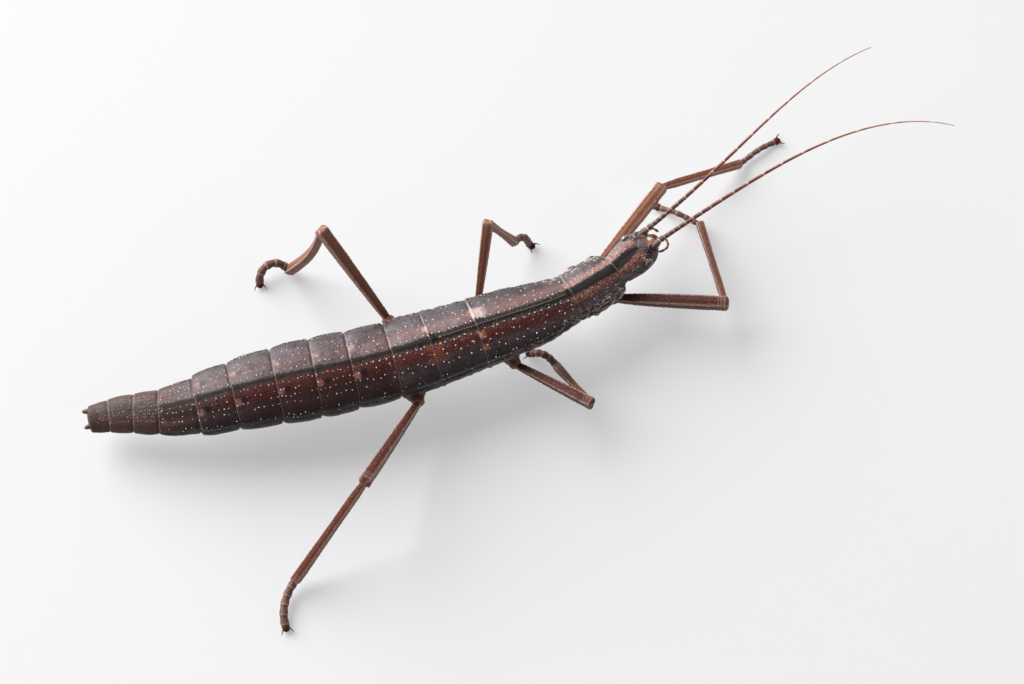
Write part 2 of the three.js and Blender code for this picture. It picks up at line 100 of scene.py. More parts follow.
# The head from its rear to its face: the share of its length, half width, crown and jaw.
HEAD_STATIONS = np.array([
    (0, 1.68, 1.25, 1.35), (0.1, 1.86, 1.5, 1.6), (0.35, 2.1, 1.62, 1.75), (0.62, 2.08, 1.55, 1.75),
    (0.82, 1.82, 1.3, 1.55), (0.95, 1.2, 0.9, 1.2), (1, 0.85, 0.55, 0.9)]).T
TAIL = (-47.6, 6.1)  # where the middle line starts, before the whole is centred
BACK, BELLY = 0.62, 0.8  # rise of the back and drop of the belly, as shares of the half width
SQUARENESS = 0.86
SIDE_RIDGE = 0.05
GAP = 0.2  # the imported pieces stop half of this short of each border
END_ROUND, FACE_ROUND = 0.45, 0.6  # lengths over which the tail end and the face round off
FOLDS = {"head": 0.2, "prothorax": 0.12, "mesothorax": 0.09, "metathorax": 0.04}  # at their rears
ABDOMEN_FOLD = 0.055
EDGE = 20  # degrees over the flank at which the beaded edge of the back runs
BEAD_PITCH = 0.42
HIP_LOBES = ((60.3, 0.42), (58.9, 0.25), (57.4, 0.34))  # places and sizes, round the fore hips

EYE = Sizes(forward=3.35, out=1.83, up=0.72, radius=0.55)
SCAPE = Sizes(forward=4.7, out=1.05, up=0.85, length=1.35, radius=0.42, turn=-4, lift=6)
PEDICEL = Sizes(length=0.6, radius=0.34)
LASH = Sizes(steps=24, first=0.55, growth=0.128, base=0.26)
FEELERS = {
    "left": Sizes(length=32.8, heading=22.2, lift=3.1, bend=17.6, curl=-37.6),
    "right": Sizes(length=35.7, heading=15.1, lift=6.8, bend=-3.6, curl=-50.5),
}
MOUTH = Sizes(forward=5.4, up=-1.0, dip=-10)
# The lip over the two jaws and the lower lip: out, up, half width, half height, length and turn.
MOUTH_PLATES = ((0, 0.22, 0.95, 0.42, 1.35, 0), (0.46, -0.2, 0.5, 0.5, 1.3, -8),
                (-0.46, -0.2, 0.5, 0.5, 1.3, 8), (0, -0.5, 0.75, 0.28, 1.1, 0))
PALP = Sizes(forward=5.6, out=1.35, up=-1.1, radius=0.16, reach=1.85, bow=0.4, close=0.85, dip=0.5,
             joints=4)
CERCUS = Sizes(reach=0.5, out=0.85, up=0.25, length=0.9, radius=0.32, turn=8, drop=4)
PLATE = Sizes(reach=0.9, length=8.4, drop=1.6, depth=0.75, half=(0.75, 1.0, 1.25, 1.3))

Leg = namedtuple(
    "Leg", "at out drop hip_at hip_out hip_drop hip_radius femur tibia tarsus pad coxa thigh shin")
LEGS = {
    "fore": Leg(60.0, 1.95, 2.4, 58.2, 1.3, 1.3, 1.35, 12.4, 12.3, 5.2, 0.34, 0.75,
                (0.44, 0.62, 0.7, 0.74, 0.77, 0.74), (0.44, 0.42, 0.42, 0.46, 0.5)),
    "middle": Leg(46.8, 4.2, 2.3, 47.2, 2.5, 2.3, 1.35, 9.7, 8.75, 3.7, 0.46, 0.8,
                  (0.38, 0.46, 0.53, 0.58, 0.64, 0.64), (0.42, 0.36, 0.38, 0.46, 0.52)),
    "hind": Leg(35.1, 5.2, 1.3, 36.0, 3.1, 1.9, 1.5, 13.8, 15.1, 5.4, 0.5, 0.85,
                (0.42, 0.52, 0.6, 0.66, 0.71, 0.71), (0.5, 0.5, 0.5, 0.52, 0.54, 0.57, 0.6)),
}
# How a leg is held: how far the hip swings forward, the femur's heading and lift, the tibia's
# heading and sag, the ankle's height, and the foot's heading, bend and arch.
Hold = namedtuple("Hold", "leg side swing femur lift tibia sag ankle foot bend arch")
STANCE = [
    Hold("fore", "right", 0.15, -21.5, 2, 84.3, 0, 0.9, 134, 4, 0.7),
    Hold("fore", "left", 0, 33, 10, 12, 0, 0.9, 26, -18, 0.4),
    Hold("middle", "right", 0.7, -48.5, 6.1, 103, 0, 0.7, 110, 50, 0.8),
    Hold("middle", "left", -0.85, 62.4, 44.4, 0.4, 0, 3.3, 39, -95, 0.9),
    Hold("hind", "right", 1, -134.6, 25.9, -151.9, 0, 1.5, -146, 56, 0.5),
    Hold("hind", "left", 0.3, 118, 45, 150.3, 0.7, 0.7, 128, 132, 1.5),
]
KNEE_GROOVES = (0.55, 0.85, 1.15)  # how far before the knee they run round the femur
LONG_FALL = 3.3  # the height of an ankle from which the foot comes down over its whole length
FOOT = Sizes(joints=5, waist=0.82, height=0.8)  # waist and height as shares of the pad's radius
PAD = Sizes(length=0.6, radius=0.4)
CLAW = Sizes(start=0.1, length=1.0, radius=0.2, spread=52, arch=0.3, dip=0.16)
SIDES = {"left": 1, "right": -1}

# ------------------------------------------------------------------ lines and directions

LENGTHS = [*TRUNK, HEAD]
STARTS = np.cumsum([0.0] + [row.length for row in LENGTHS])
BORDERS = STARTS[1:-1]
BODY_LENGTH = STARTS[-1]
AT = Sizes(**{row.name: start for row, start in zip(LENGTHS, STARTS)})
LINE_STEPS = 680


def circle(sides):
    return np.arange(sides) * 2 * math.pi / sides


def pointing(heading, lift=0.0):
    """Unit vectors from headings round the vertical and lifts over the level, in degrees."""
    turn, rise = np.radians(heading), np.radians(lift)
    parts = np.cos(turn) * np.cos(rise), np.sin(turn) * np.cos(rise), np.sin(rise)
    return np.stack(np.broadcast_arrays(*parts), -1)


def unit(vectors):
    return vectors / np.linalg.norm(vectors, axis=-1, keepdims=True)


def blend(column, s):
    """A column of the trunk's table at places along the body."""
    middles = [start + row.length / 2 for start, row in zip(STARTS, LENGTHS)]
    return np.interp(s, middles, [getattr(row, column) for row in LENGTHS])


def middle_line():
    """Places along the body and the points of its middle line there."""
    step = BODY_LENGTH / LINE_STEPS
    headings = blend("heading", (np.arange(LINE_STEPS) + 0.5) * step)
    moves = np.vstack([[(*TAIL, 0.0)], pointing(headings) * step])
    return np.arange(LINE_STEPS + 1) * step, np.cumsum(moves, axis=0)


LINE_PLACES, LINE = middle_line()


def on_body(s, out=0.0, up=0.0):
    """Points at places along the body, out to her left and up from the middle line."""
    s, out, up = np.broadcast_arrays(*(np.asarray(v, float) for v in (s, out, up)))
    inside = np.clip(s, 0, BODY_LENGTH)
    x, y = (np.interp(inside, LINE_PLACES, LINE[:, axis]) for axis in (0, 1))
    heading = blend("heading", s)
    points = np.stack([x, y, blend("height", s) + up], -1)
    return points + pointing(heading) * (s - inside)[..., None] + pointing(heading + 90) * out[..., None]


def on_head(forward, out, up):
    return on_body(AT.head + np.asarray(forward), out, up)


def signed_power(value, power):
    return np.sign(value) * np.abs(value) ** power


def bell(distance, width):
    """1 at no distance, falling smoothly to nothing over about twice the width."""
    return np.exp(-((distance / width) ** 2))


def step_up(value, low, high):
    """0 below low and 1 above high, with a smooth rise between."""
    t = np.clip((value - low) / (high - low), 0, 1)
    return t * t * (3 - 2 * t)


def over(s, low, high, soft=0.6):
    """1 between two places, fading out over a soft length at each."""
    return step_up(s, low - soft / 2, low + soft / 2) * (1 - step_up(s, high - soft / 2, high + soft / 2))


def lerp(a, b, t):
    return a + (b - a) * t


LATTICE = np.random.default_rng(11).random((32, 32, 32))


def rumple(points, size, shift=0):
    """Smooth seeded noise from 0 to 1 at points, its lumps about one size across."""
    cell = np.asarray(points) / size + 13.7 * shift
    whole = np.floor(cell).astype(int)
    part = cell - whole
    part = part * part * (3 - 2 * part)
    total = 0.0
    for corner in np.ndindex(2, 2, 2):
        weight = np.prod(np.where(corner, part, 1 - part), axis=-1)
        total = total + weight * LATTICE[tuple(np.moveaxis((whole + corner) % 32, -1, 0))]
    return total


def creased(points, size, shift=0):
    """Seeded noise with sharp crests at 1 and broad hollows."""
    return 1 - np.abs(2 * rumple(points, size, shift) - 1)


# ------------------------------------------------------------------ the body's surface

FINE = 0.02  # pitch of the tables below


def softened(values, width):
    """A table of values with its steps rounded over a width along the body."""
    reach = int(4 * width / FINE)
    weights = bell(np.arange(-reach, reach + 1) * FINE, width * math.sqrt(2))
    return np.convolve(np.pad(values, reach, mode="edge"), weights / weights.sum(), mode="valid")


def swell(row, t):
    """The half width of a length of the trunk at shares t of it."""
    return lerp(row.rear, row.front, t) + row.bulge * np.sin(math.pi * t)


def section_tables():
    """Half width, rise of the back and drop of the belly at every fine step of the body."""
    trunk, head = np.arange(0, AT.head, FINE), np.arange(0, HEAD.length + FINE, FINE)
    halves = np.zeros_like(trunk)
    for row, start in zip(TRUNK, STARTS):
        inside = (trunk >= start - 1e-9) & (trunk < start + row.length)
        halves[inside] = swell(row, (trunk[inside] - start) / row.length)
    shares, *shapes = HEAD_STATIONS
    columns = []
    for shape, share in zip(shapes, (1.0, BACK, BELLY)):
        values = softened(np.interp(head, shares * HEAD.length, shape), 0.25)
        columns.append(softened(np.concatenate([halves * share, values]), 0.09))
    return np.concatenate([trunk, AT.head + head]), *columns


SECTION_PLACES, *SECTIONS = section_tables()


def half_at(s):
    return np.interp(s, SECTION_PLACES, SECTIONS[0])


def tall_at(s, rise):
    """The rise of the back where rise is over nothing, and else the drop of the belly."""
    crown, jaw = (np.interp(s, SECTION_PLACES, column) for column in SECTIONS[1:])
    return np.where(rise > 0, crown, jaw)


def squared(turn, half, tall):
    """Out and up on a squarish oval with a ridge at each side."""
    side, rise = np.cos(turn), np.sin(turn)
    ridge = 1 + SIDE_RIDGE * np.clip(np.abs(side) - 0.95, 0, 1) / 0.05
    return signed_power(side, SQUARENESS) * half * ridge, signed_power(rise, SQUARENESS) * tall


def closing(distance, length):
    """1 along the body, down to 0 at an end over a length."""
    return np.sqrt(np.clip(1 - np.clip(1 - distance / length, 0, 1) ** 2.6, 0, 1))


def plain_section(s, turn):
    """Out and up from the middle line on the plain section, before any relief."""
    ends = closing(s - GAP / 2, END_ROUND) * closing(BODY_LENGTH - s, FACE_ROUND)
    return squared(turn, half_at(s) * ends, tall_at(s, np.sin(turn)) * ends)


def trunk_relief(s, turn, out, points):
    """Folds at the borders, the keel of the back, its beaded edges and the creased flanks."""
    height = np.zeros(s.shape)
    for row, border in zip(LENGTHS[1:], BORDERS):
        depth = FOLDS.get(row.name, ABDOMEN_FOLD)
        height += 0.35 * depth * bell(s - border - 0.14, 0.13) - depth * bell(s - border + 0.07, 0.09)
    # each length of the abdomen has rounded shoulders at its rear
    flat = np.abs(np.cos(turn)) ** 1.5
    for border in BORDERS[:9]:
        ahead = s - border
        shoulder = np.where(ahead > 0, np.exp(-np.clip(ahead, 0, None) / 0.4), bell(ahead, 0.12))
        size = 0.3 + 0.7 * step_up(border, AT.abdomen_7 - 1, AT.abdomen_6)
        height -= size * (0.05 + 0.2 * flat) * shoulder
    thorax, abdomen = over(s, AT.median_segment, AT.head), over(s, AT.abdomen_7, AT.median_segment)
    top, low = step_up(np.sin(turn), 0.1, 0.5), step_up(-np.sin(turn), 0.25, 0.6)
    # the two halves of the back are nearly flat and meet in a low roof
    side, half = np.abs(out), half_at(s)
    height += (0.22 * thorax + 0.16 * abdomen) * top * np.exp(-side / 1.3)
    height -= (0.3 * thorax + 0.24 * abdomen) * bell(side / half - 0.62, 0.24) * top
    keel = over(s, AT.median_segment + 0.6, AT.prothorax - 0.7, 0.5)
    seam = over(s, AT.prothorax + 0.5, AT.head - 0.4, 0.4)
    height += 0.07 * keel * top * bell(out, 0.09) - 0.05 * seam * top * bell(out, 0.07)
    # the short cross groove near the front of the mesothorax
    height -= 0.16 * bell(s - (AT.prothorax - 0.3), 0.13) * bell(out, 0.32) * top
    # the beaded edge and the groove under it
    slope = np.degrees(np.arcsin(np.clip(np.sin(turn), -1, 1)))
    beads = 0.55 + 0.45 * np.cos(2 * math.pi * s / BEAD_PITCH)
    height += (0.12 * thorax + 0.09 * abdomen) * bell(slope - EDGE, 4.5) * beads
    height -= (0.12 * thorax + 0.07 * abdomen) * bell(slope - EDGE + 10, 4)
    # creases along the flanks of the thorax, and shallower ones on the abdomen
    crease, lumps = creased(points * [0.45, 1.0, 1.0], 0.42), creased(points, 0.8, 2)
    folds = thorax * (0.16 * crease + 0.16 * lumps - 0.16) + abdomen * (0.07 * crease - 0.03)
    height += bell(slope + 8, 20) * folds
    for place, size in HIP_LOBES:
        height += size * bell(s - place, 0.62) * bell(slope + 4, 17)
    # plates of the belly with a fold along each side
    height -= 0.09 * low * bell(side - 0.62 * half, 0.13) * (thorax + abdomen)
    # fine swells all over
    return height + 0.05 * (rumple(points, 1.3, 4) - 0.5) + 0.022 * (rumple(points, 0.3, 5) - 0.5)


def head_relief(s, out, up):
    """Sockets of the eyes and feelers, the seam of the crown, brows and cheeks."""
    forward, side = s - AT.head, np.abs(out)
    to_eye, to_root = (
        np.sqrt((forward - piece.forward) ** 2 + (side - piece.out) ** 2 + (up - piece.up) ** 2)
        for piece in (EYE, SCAPE))
    height = 0.09 * bell(to_eye - EYE.radius - 0.12, 0.1) - 0.2 * (1 - step_up(to_eye, 0.3, 0.5))
    height += 0.12 * bell(to_root - 0.56, 0.1) - 0.2 * (1 - step_up(to_root, 0.25, 0.45))
    # the seam of the crown, its fork, the brows and the dip between the feelers
    top = step_up(up, 0.3, 0.9)
    fork = side - 0.75 * (forward - 3.3)
    height -= 0.06 * top * bell(side, 0.06) * over(forward, 0.5, 3.4, 0.5)
    height -= 0.035 * top * bell(fork, 0.11) * over(forward, 3.45, 4.4, 0.4)
    height += 0.1 * top * bell(side - 0.95, 0.5) * bell(forward - 2.0, 1.5)
    height -= 0.1 * top * bell(side, 0.5) * bell(forward - 5.0, 0.6)
    # the cheeks, the groove under them and the neck
    height += 0.1 * bell(up + 0.35, 0.6) * over(forward, 2.2, 4.8, 1.2)
    height -= 0.08 * bell(up + 0.95, 0.1) * over(forward, 1.2, 5.4, 0.6)
    return height - 0.08 * bell(forward - 0.55, 0.1)


def skin_at(s, turn):
    """Points of the skin, with out and up from the middle line as they were before relief."""
    s, turn = np.broadcast_arrays(np.asarray(s, float), np.asarray(turn, float))
    out, up = plain_section(s, turn)
    half, tall = np.maximum(half_at(s), 0.3), np.maximum(tall_at(s, up), 0.3)
    lean = unit(np.stack([out / half**2, up / tall**2], -1) + 1e-9)
    height = trunk_relief(s, turn, out, on_body(s, out, up))
    height *= 1 - 0.8 * over(s, AT.head + 0.3, BODY_LENGTH + 5, 0.4)
    height += head_relief(s, out, up) * step_up(s, AT.head + 0.1, AT.head + 0.5)
    height *= over(s, 0.35, BODY_LENGTH - 0.3, 0.4)
    return on_body(s, out + height * lean[..., 0], up + height * lean[..., 1]), out, up


def turn_at(s, out):
    """The turn of the section at which the back lies this far out."""
    return np.arccos(signed_power(np.clip(out / half_at(s), -0.999, 0.999), 1 / SQUARENESS))


def skin_and_normal(s, turn):
    """Points of the skin and the way it faces there."""
    here = skin_at(s, turn)[0]
    along = skin_at(s + 0.03, turn)[0] - here
    across = skin_at(s, turn + 0.01)[0] - here
    return here, unit(np.cross(across, along))


def part_shift():
    """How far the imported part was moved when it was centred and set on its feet."""
    row = next(row for row in TRUNK if row.name == "mesothorax")
    shares, turns = np.array([0, 0.15, 0.4, 0.7, 0.9, 1])[:, None], circle(20)
    halves = swell(row, shares)
    places = AT.mesothorax + lerp(GAP / 2, row.length - GAP / 2, shares)
    section = squared(turns, halves, halves * np.where(np.sin(turns) > 0, BACK, BELLY))
    points = on_body(places, *section).reshape(-1, 3)
    low, high = (np.array(corner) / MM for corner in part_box("mesothorax"))
    if np.abs((high - low) - np.ptp(points, axis=0)).max() > 0.02:
        raise ValueError("the packed mesothorax isn't the size that this script works from")
    return low - points.min(axis=0)


SHIFT = part_shift()

# ------------------------------------------------------------------ meshes

TRAITS = ("along", "across", "rise", "behind", "ahead", "keel")


class Shell:
    """Gathers lofts and other surfaces, with what the finishes read from them, as one mesh."""

    def __init__(self):
        self.points, self.faces, self.traits, self.finishes = [], [], [], []
        self.count = 0

    def add(self, points, faces, finish=0, **traits):
        points = np.asarray(points, float).reshape(-1, 3)
        table = np.zeros((len(points), len(TRAITS)))
        for name, values in traits.items():
            table[:, TRAITS.index(name)] = values
        self.points.append(points)
        self.faces.append(faces + self.count)
        self.traits.append(table)
        self.finishes.append(np.full(len(faces), finish))
        self.count += len(points)

    def loft(self, rings, finish=0, **traits):
        """A tube through rings of points, closed by a point at each end."""
        rows, sides = rings.shape[:2]
        i = np.arange(sides)
        j = (i + 1) % sides
        steps = (np.arange(rows - 1) * sides)[:, None]
        a, b = (steps + i).ravel(), (steps + j).ravel()
        walls = np.stack([a, b, b + sides, a + sides], -1)
        first, last = rows * sides, (rows - 1) * sides
        # a cap's triangles repeat their last corner, and the mesh drops the repeat
        rear = np.stack([np.full(sides, first), j, i, i], -1)
        front = np.stack([np.full(sides, first + 1), last + i, last + j, last + j], -1)
        spread = {}
        for name, values in traits.items():
            values = np.broadcast_to(values, (rows, sides))
            spread[name] = np.concatenate([values.ravel(), [values[0].mean(), values[-1].mean()]])
        points = np.concatenate([rings.reshape(-1, 3), rings[[0, -1]].mean(axis=1)])
        self.add(points, np.concatenate([walls, rear, front]), finish, **spread)

    def make(self, name, finishes, nodes):
        """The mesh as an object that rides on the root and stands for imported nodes."""
        points = (np.concatenate(self.points) + SHIFT) * MM
        faces = np.concatenate(self.faces)
        traits = np.concatenate(self.traits)
        keep = np.ones_like(faces, bool)
        keep[:, 3] = faces[:, 2] != faces[:, 3]
        sizes = keep.sum(axis=1)
        mesh = bpy.data.meshes.new(name)
        mesh.vertices.add(len(points))
        mesh.vertices.foreach_set("co", points.ravel())
        mesh.loops.add(int(sizes.sum()))
        mesh.loops.foreach_set("vertex_index", faces[keep].astype(np.int32))
        mesh.polygons.add(len(faces))
        starts = np.concatenate([[0], np.cumsum(sizes)[:-1]])
        mesh.polygons.foreach_set("loop_start", starts.astype(np.int32))
        mesh.polygons.foreach_set("material_index", np.concatenate(self.finishes).astype(np.int32))
        mesh.polygons.foreach_set("use_smooth", np.ones(len(faces), bool))
        for trait, values in zip(TRAITS, traits.T):
            if np.ptp(values) > 0:
                layer = mesh.attributes.new(trait, "FLOAT", "POINT")
                layer.data.foreach_set("value", values.astype(np.float32))
        mesh.update(calc_edges=True)
        mesh.validate()
        for finish in finishes:
            mesh.materials.append(finish)
        piece = bpy.data.objects.new(name, mesh)
        bpy.context.scene.collection.objects.link(piece)
        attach(piece, "root")
        if nodes:
            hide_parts(*nodes)


def across_way(way):
    """The level direction to the left of a way."""
    return unit(np.cross([0.0, 0.0, 1.0], way))


def rings_across(points, ways, turns, reach):
    """Rings across a path. reach is the radius for each point and turn."""
    left = np.broadcast_to(across_way(ways), points.shape)
    top = np.cross(ways, left)
    spokes = np.cos(turns)[..., None] * left[:, None] + np.sin(turns)[..., None] * top[:, None]
    reach = np.broadcast_to(reach, (len(points), turns.shape[-1]))
    return points[:, None] + reach[..., None] * spokes


def flowing(points, parts):
    """A smooth path through points, each stretch between two of them cut in parts."""
    padded = np.vstack([2 * points[0] - points[1], points, 2 * points[-1] - points[-2]])
    t = np.linspace(0, 1, parts, endpoint=False)[None, :, None]
    p0, p1, p2, p3 = (padded[i:len(padded) - 3 + i, None] for i in range(4))
    path = 0.5 * (2 * p1 + (p2 - p0) * t + (2 * p0 - 5 * p1 + 4 * p2 - p3) * t**2
                  + (3 * p1 - p0 - 3 * p2 + p3) * t**3)
    return np.vstack([path.reshape(-1, 3), points[-1:]])


def headed(path):
    """The way a path heads at each of its points."""
    return unit(np.gradient(path, axis=0))


def rounded(values, t):
    """A few radii read as a smooth profile at shares t of the length."""
    fine = np.linspace(-0.2, 1.2, 281)
    raw = np.interp(fine, np.linspace(0, 1, len(values)), values)
    kernel = bell(np.linspace(-0.12, 0.12, 25), 0.06)
    smooth = np.convolve(np.pad(raw, 12, mode="edge"), kernel / kernel.sum(), mode="valid")
    return np.interp(t, fine, smooth)


DOME = ((1.15, -0.35), (1.0, 0.12), (0.78, 0.62), (0.4, 0.92))  # shares of its radius and height


def domes(shell, centres, normals, radii, heights, finish=0, sides=8):
    """Small round granules standing on a surface."""
    helper = np.where(np.abs(normals[:, 2:]) < 0.9, [[0.0, 0.0, 1.0]], [[1.0, 0.0, 0.0]])
    first = unit(np.cross(helper, normals))
    turns = circle(sides)[:, None]
    ring = np.cos(turns) * first[:, None] + np.sin(turns) * np.cross(normals, first)[:, None]
    rows = [centres[:, None] + share * radii[:, None, None] * ring
            + (rise * heights)[:, None, None] * normals[:, None] for share, rise in DOME]
    apex = (centres + heights[:, None] * normals)[:, None]
    points = np.concatenate([*rows, apex], axis=1)
    i = np.arange(sides)
    j = (i + 1) % sides
    quads = [np.stack([a + i, a + j, a + sides + j, a + sides + i], -1)
             for a in np.arange(len(DOME) - 1) * sides]
    top = (len(DOME) - 1) * sides
    tip = np.full(sides, top + sides)
    faces = np.concatenate([*quads, np.stack([top + i, top + j, tip, tip], -1)])
    offsets = np.arange(len(centres)) * points.shape[1]
    shell.add(points, (faces + offsets[:, None, None]).reshape(-1, 4), finish)


# ------------------------------------------------------------------ legs

LIMB_TURNS = circle(48)
LIMB_PITCH = 0.12
KEEL_WIDTH = math.radians(13)
Limb = namedtuple("Limb", "start end radii beads first sag shin bend")


def keels(turn):
    """1 on the four keels of a limb, two above and two below, and 0 in the furrows between them."""
    return bell(np.asarray(turn) % (math.pi / 2) - math.pi / 4, KEEL_WIDTH)


def leg_joints(hold):
    """The joints of a leg: the coxa's root, the hip, the knee and the ankle."""
    size, side = LEGS[hold.leg], SIDES[hold.side]
    root = on_body(size.hip_at, side * size.hip_out, -size.hip_drop)
    hip = on_body(size.at + hold.swing, side * size.out, -size.drop)
    knee = hip + pointing(hold.femur, hold.lift) * size.femur
    fall = math.degrees(math.asin((knee[2] - hold.ankle) / size.tibia))
    return root, hip, knee, knee + pointing(hold.tibia, -fall) * size.tibia


def limbs(hold):
    """The femur and the tibia of a leg."""
    size = LEGS[hold.leg]
    hip, knee, ankle = leg_joints(hold)[1:]
    narrow = (0.75 * size.shin[0], *size.shin)
    return (Limb(hip, knee, size.thigh, 0.035, 0.0, 0.0, 0, unit(ankle - knee)),
            Limb(knee, ankle, narrow, 0.025, size.femur, hold.sag, 1, None))


def limb_reach(radius, t, length, turn, beads=0.035):
    """The radius of a keeled limb at a share t of its length and a turn."""
    keel = keels(turn)
    toothed = beads * keel * (0.5 + 0.5 * np.cos(2 * math.pi * t * length / 0.55))
    return radius * (0.96 + 0.22 * keel) + toothed * over(t, 0.06, 0.95, 0.05)


def limb_line(start, end, t, sag):
    """The middle line of a limb at shares t of its length, sagging between its ends."""
    way = unit(end - start)
    return start + t * (end - start) + sag * np.sin(math.pi * t) * np.cross(across_way(way), way)


def round_off(ring, end, way, degrees, depth, power):
    """Rings from a ring to its end point, bulging a depth along a way."""
    bends = np.radians(degrees)[:, None]
    return end + (ring - end) * np.cos(bends)[..., None] ** power + (depth * np.sin(bends))[..., None] * way


def limb(shell, part, side):
    """A keeled limb from joint to joint. Where the next one bends away, its end flares into two
    lobes at the sides of that joint."""
    start, end = part.start, part.end
    length = float(np.linalg.norm(end - start))
    way = (end - start) / length
    t = np.linspace(0, 1, int(length / LIMB_PITCH))[:, None]
    reach = limb_reach(rounded(part.radii, t), t, length, LIMB_TURNS, part.beads)
    crinkle = rumple(start + t[..., None] * (end - start) + LIMB_TURNS[:, None] * 0.35, 0.35)
    reach = reach + 0.03 * (crinkle - 0.5)
    lobes = 0.25
    if part.bend is not None:
        left, hinge = across_way(way), unit(np.cross(way, part.bend))
        hinge_turn = math.atan2(hinge @ np.cross(way, left), hinge @ left)
        sideways = np.abs(np.cos(LIMB_TURNS - hinge_turn))
        reach = reach * (1 + (0.02 + 0.05 * sideways) * step_up(t, 1 - 1.1 / length, 1 - 0.2 / length))
        for groove in KNEE_GROOVES:
            reach = reach - 0.025 * bell((1 - t) * length - groove, 0.07)
        lobes = 0.28 + 0.14 * sideways**2
    rings = rings_across(limb_line(start, end, t, part.sag), way, LIMB_TURNS, reach)
    rear = round_off(rings[0], start, -way, [75, 60, 45, 30, 15], 0.25, 0.8)
    front = round_off(rings[-1], end, way, [15, 30, 45, 60, 75], lobes, 0.7)
    along = np.concatenate([np.zeros(5), t[:, 0] * length, np.full(5, length)])[:, None]
    shell.loft(np.concatenate([rear, rings, front]), 1, along=part.first + along,
               keel=keels(LIMB_TURNS), rise=part.shin, across=side, behind=along, ahead=length - along)


def foot_height(hold, t):
    """How high the middle line of a foot is at shares t of its length."""
    fall = np.clip(1 - t * LONG_FALL / hold.ankle, 0, 1) ** 1.5
    return lerp(FOOT.height * LEGS[hold.leg].pad, hold.ankle, fall) + hold.arch * np.sin(math.pi * t)


def foot_line(hold):
    """The middle line of a foot: down onto the floor, arched and evenly curved."""
    steps = 2 * FOOT.joints
    step = LEGS[hold.leg].tarsus / steps
    t = np.arange(steps + 1) / steps
    heights = foot_height(hold, t)
    slopes = np.degrees(np.arcsin(np.clip(np.diff(heights) / step, -0.95, 0.95)))
    ways = pointing(hold.foot + hold.bend * t[:-1], slopes)
    points = leg_joints(hold)[-1] + np.vstack([np.zeros(3), np.cumsum(ways * step, axis=0)])
    points[:, 2] = heights
    return points


def foot(shell, hold):
    """A foot of five joints, each swelling into a pad under its far end."""
    size, turns = LEGS[hold.leg], circle(32)
    path = flowing(foot_line(hold), 9)
    t = np.linspace(0, 1, len(path))[:, None]
    part = (t * FOOT.joints) % 1
    swelling = step_up(part, 0.05, 0.75) * (1 - 0.8 * step_up(part, 0.9, 1.0))
    swelling[-1] = 0.3
    under = step_up(-np.sin(turns), 0.0, 0.9)
    reach = size.pad * (FOOT.waist * 0.96 + (1 - FOOT.waist) * swelling * (0.8 + 0.4 * under))
    rings = rings_across(path, headed(path), turns, reach * (1 + 0.05 * np.cos(2 * turns)))
    ends = [[centre + (ring - centre) * share for share in (0.4, 0.8)]
            for centre, ring in ((path[0], rings[0]), (path[-1], rings[-1]))]
    whole = np.concatenate([ends[0], rings, ends[1][::-1]])
    whole[..., 2] = np.maximum(whole[..., 2], 0.0)
    along, joint = (np.concatenate([[0, 0], share[:, 0], [1, 1]])[:, None] for share in (t, part))
    shell.loft(whole, 2, along=along * size.tarsus, keel=joint)


def coxa(shell, hold):
    """The hip piece: a creased cone out of the flank, with the ring of the trochanter."""
    size = LEGS[hold.leg]
    root, hip = leg_joints(hold)[:2]
    way, length = unit(hip - root), float(np.linalg.norm(hip - root))
    t = np.linspace(0, 1, 44)[:, None]
    reach = rounded((size.hip_radius, 0.9 * size.hip_radius, size.coxa, 0.8 * size.coxa), t)
    middle = root + t * (hip - root)
    spokes = np.stack([np.cos(LIMB_TURNS), np.sin(LIMB_TURNS), np.sin(LIMB_TURNS + 1)], -1)
    crease = creased(middle[:, None] + reach[..., None] * spokes, 0.5, 6)
    reach = reach * (1 + 0.16 * (crease - 0.5)) - 0.07 * bell((t - 0.8) * length, 0.1)
    rings = rings_across(middle, way, LIMB_TURNS, reach)
    front = round_off(rings[-1], hip, way, [18, 36, 54, 72], 0.4, 0.8)
    place = np.concatenate([t[:, 0] * length, np.full(4, length)])[:, None]
    shell.loft(np.concatenate([rings, front]), 1, along=place, keel=0.5,
               behind=place + 2, ahead=length - place + 2)


# ------------------------------------------------------------------ shader sockets and nodes


class Wire:
    """A shader socket that sums can be written on."""

    def __init__(self, nodes, socket):
        self.nodes, self.socket = nodes, socket

    def math(self, operation, *values):
        return self.nodes.node("ShaderNodeMath", {"operation": operation}, dict(enumerate(values)))

    def __add__(self, other):
        return self.math("ADD", self, other)

    def __radd__(self, other):
        return self.math("ADD", other, self)

    def __sub__(self, other):
        return self.math("SUBTRACT", self, other)

    def __rsub__(self, other):
        return self.math("SUBTRACT", other, self)

    def __mul__(self, other):
        return self.math("MULTIPLY", self, other)

    def __rmul__(self, other):
        return self.math("MULTIPLY", other, self)

    def __pow__(self, other):
        return self.math("POWER", self, other)

    def __abs__(self):
        return self.math("ABSOLUTE", self)


class Nodes:
    """The nodes of a material or a world."""

    def __init__(self, owner):
        owner.use_nodes = True
        self.owner, self.tree = owner, owner.node_tree

    def node(self, kind, settings, sockets, output=0):
        """Any node: its settings first, then the values or wires of its sockets."""
        node = self.tree.nodes.new(kind)
        for name, value in settings.items():
            setattr(node, name, value)
        self.attach(node, sockets)
        return Wire(self, node.outputs[output])

    def attach(self, node, sockets):
        """Sets sockets of a node to values, or links them to wires."""
        for name, value in sockets.items():
            place = node.inputs[name]
            if isinstance(value, Wire):
                self.tree.links.new(value.socket, place)
            elif place.type == "RGBA":
                place.default_value = (*value[:3], 1.0)
            else:
                place.default_value = value


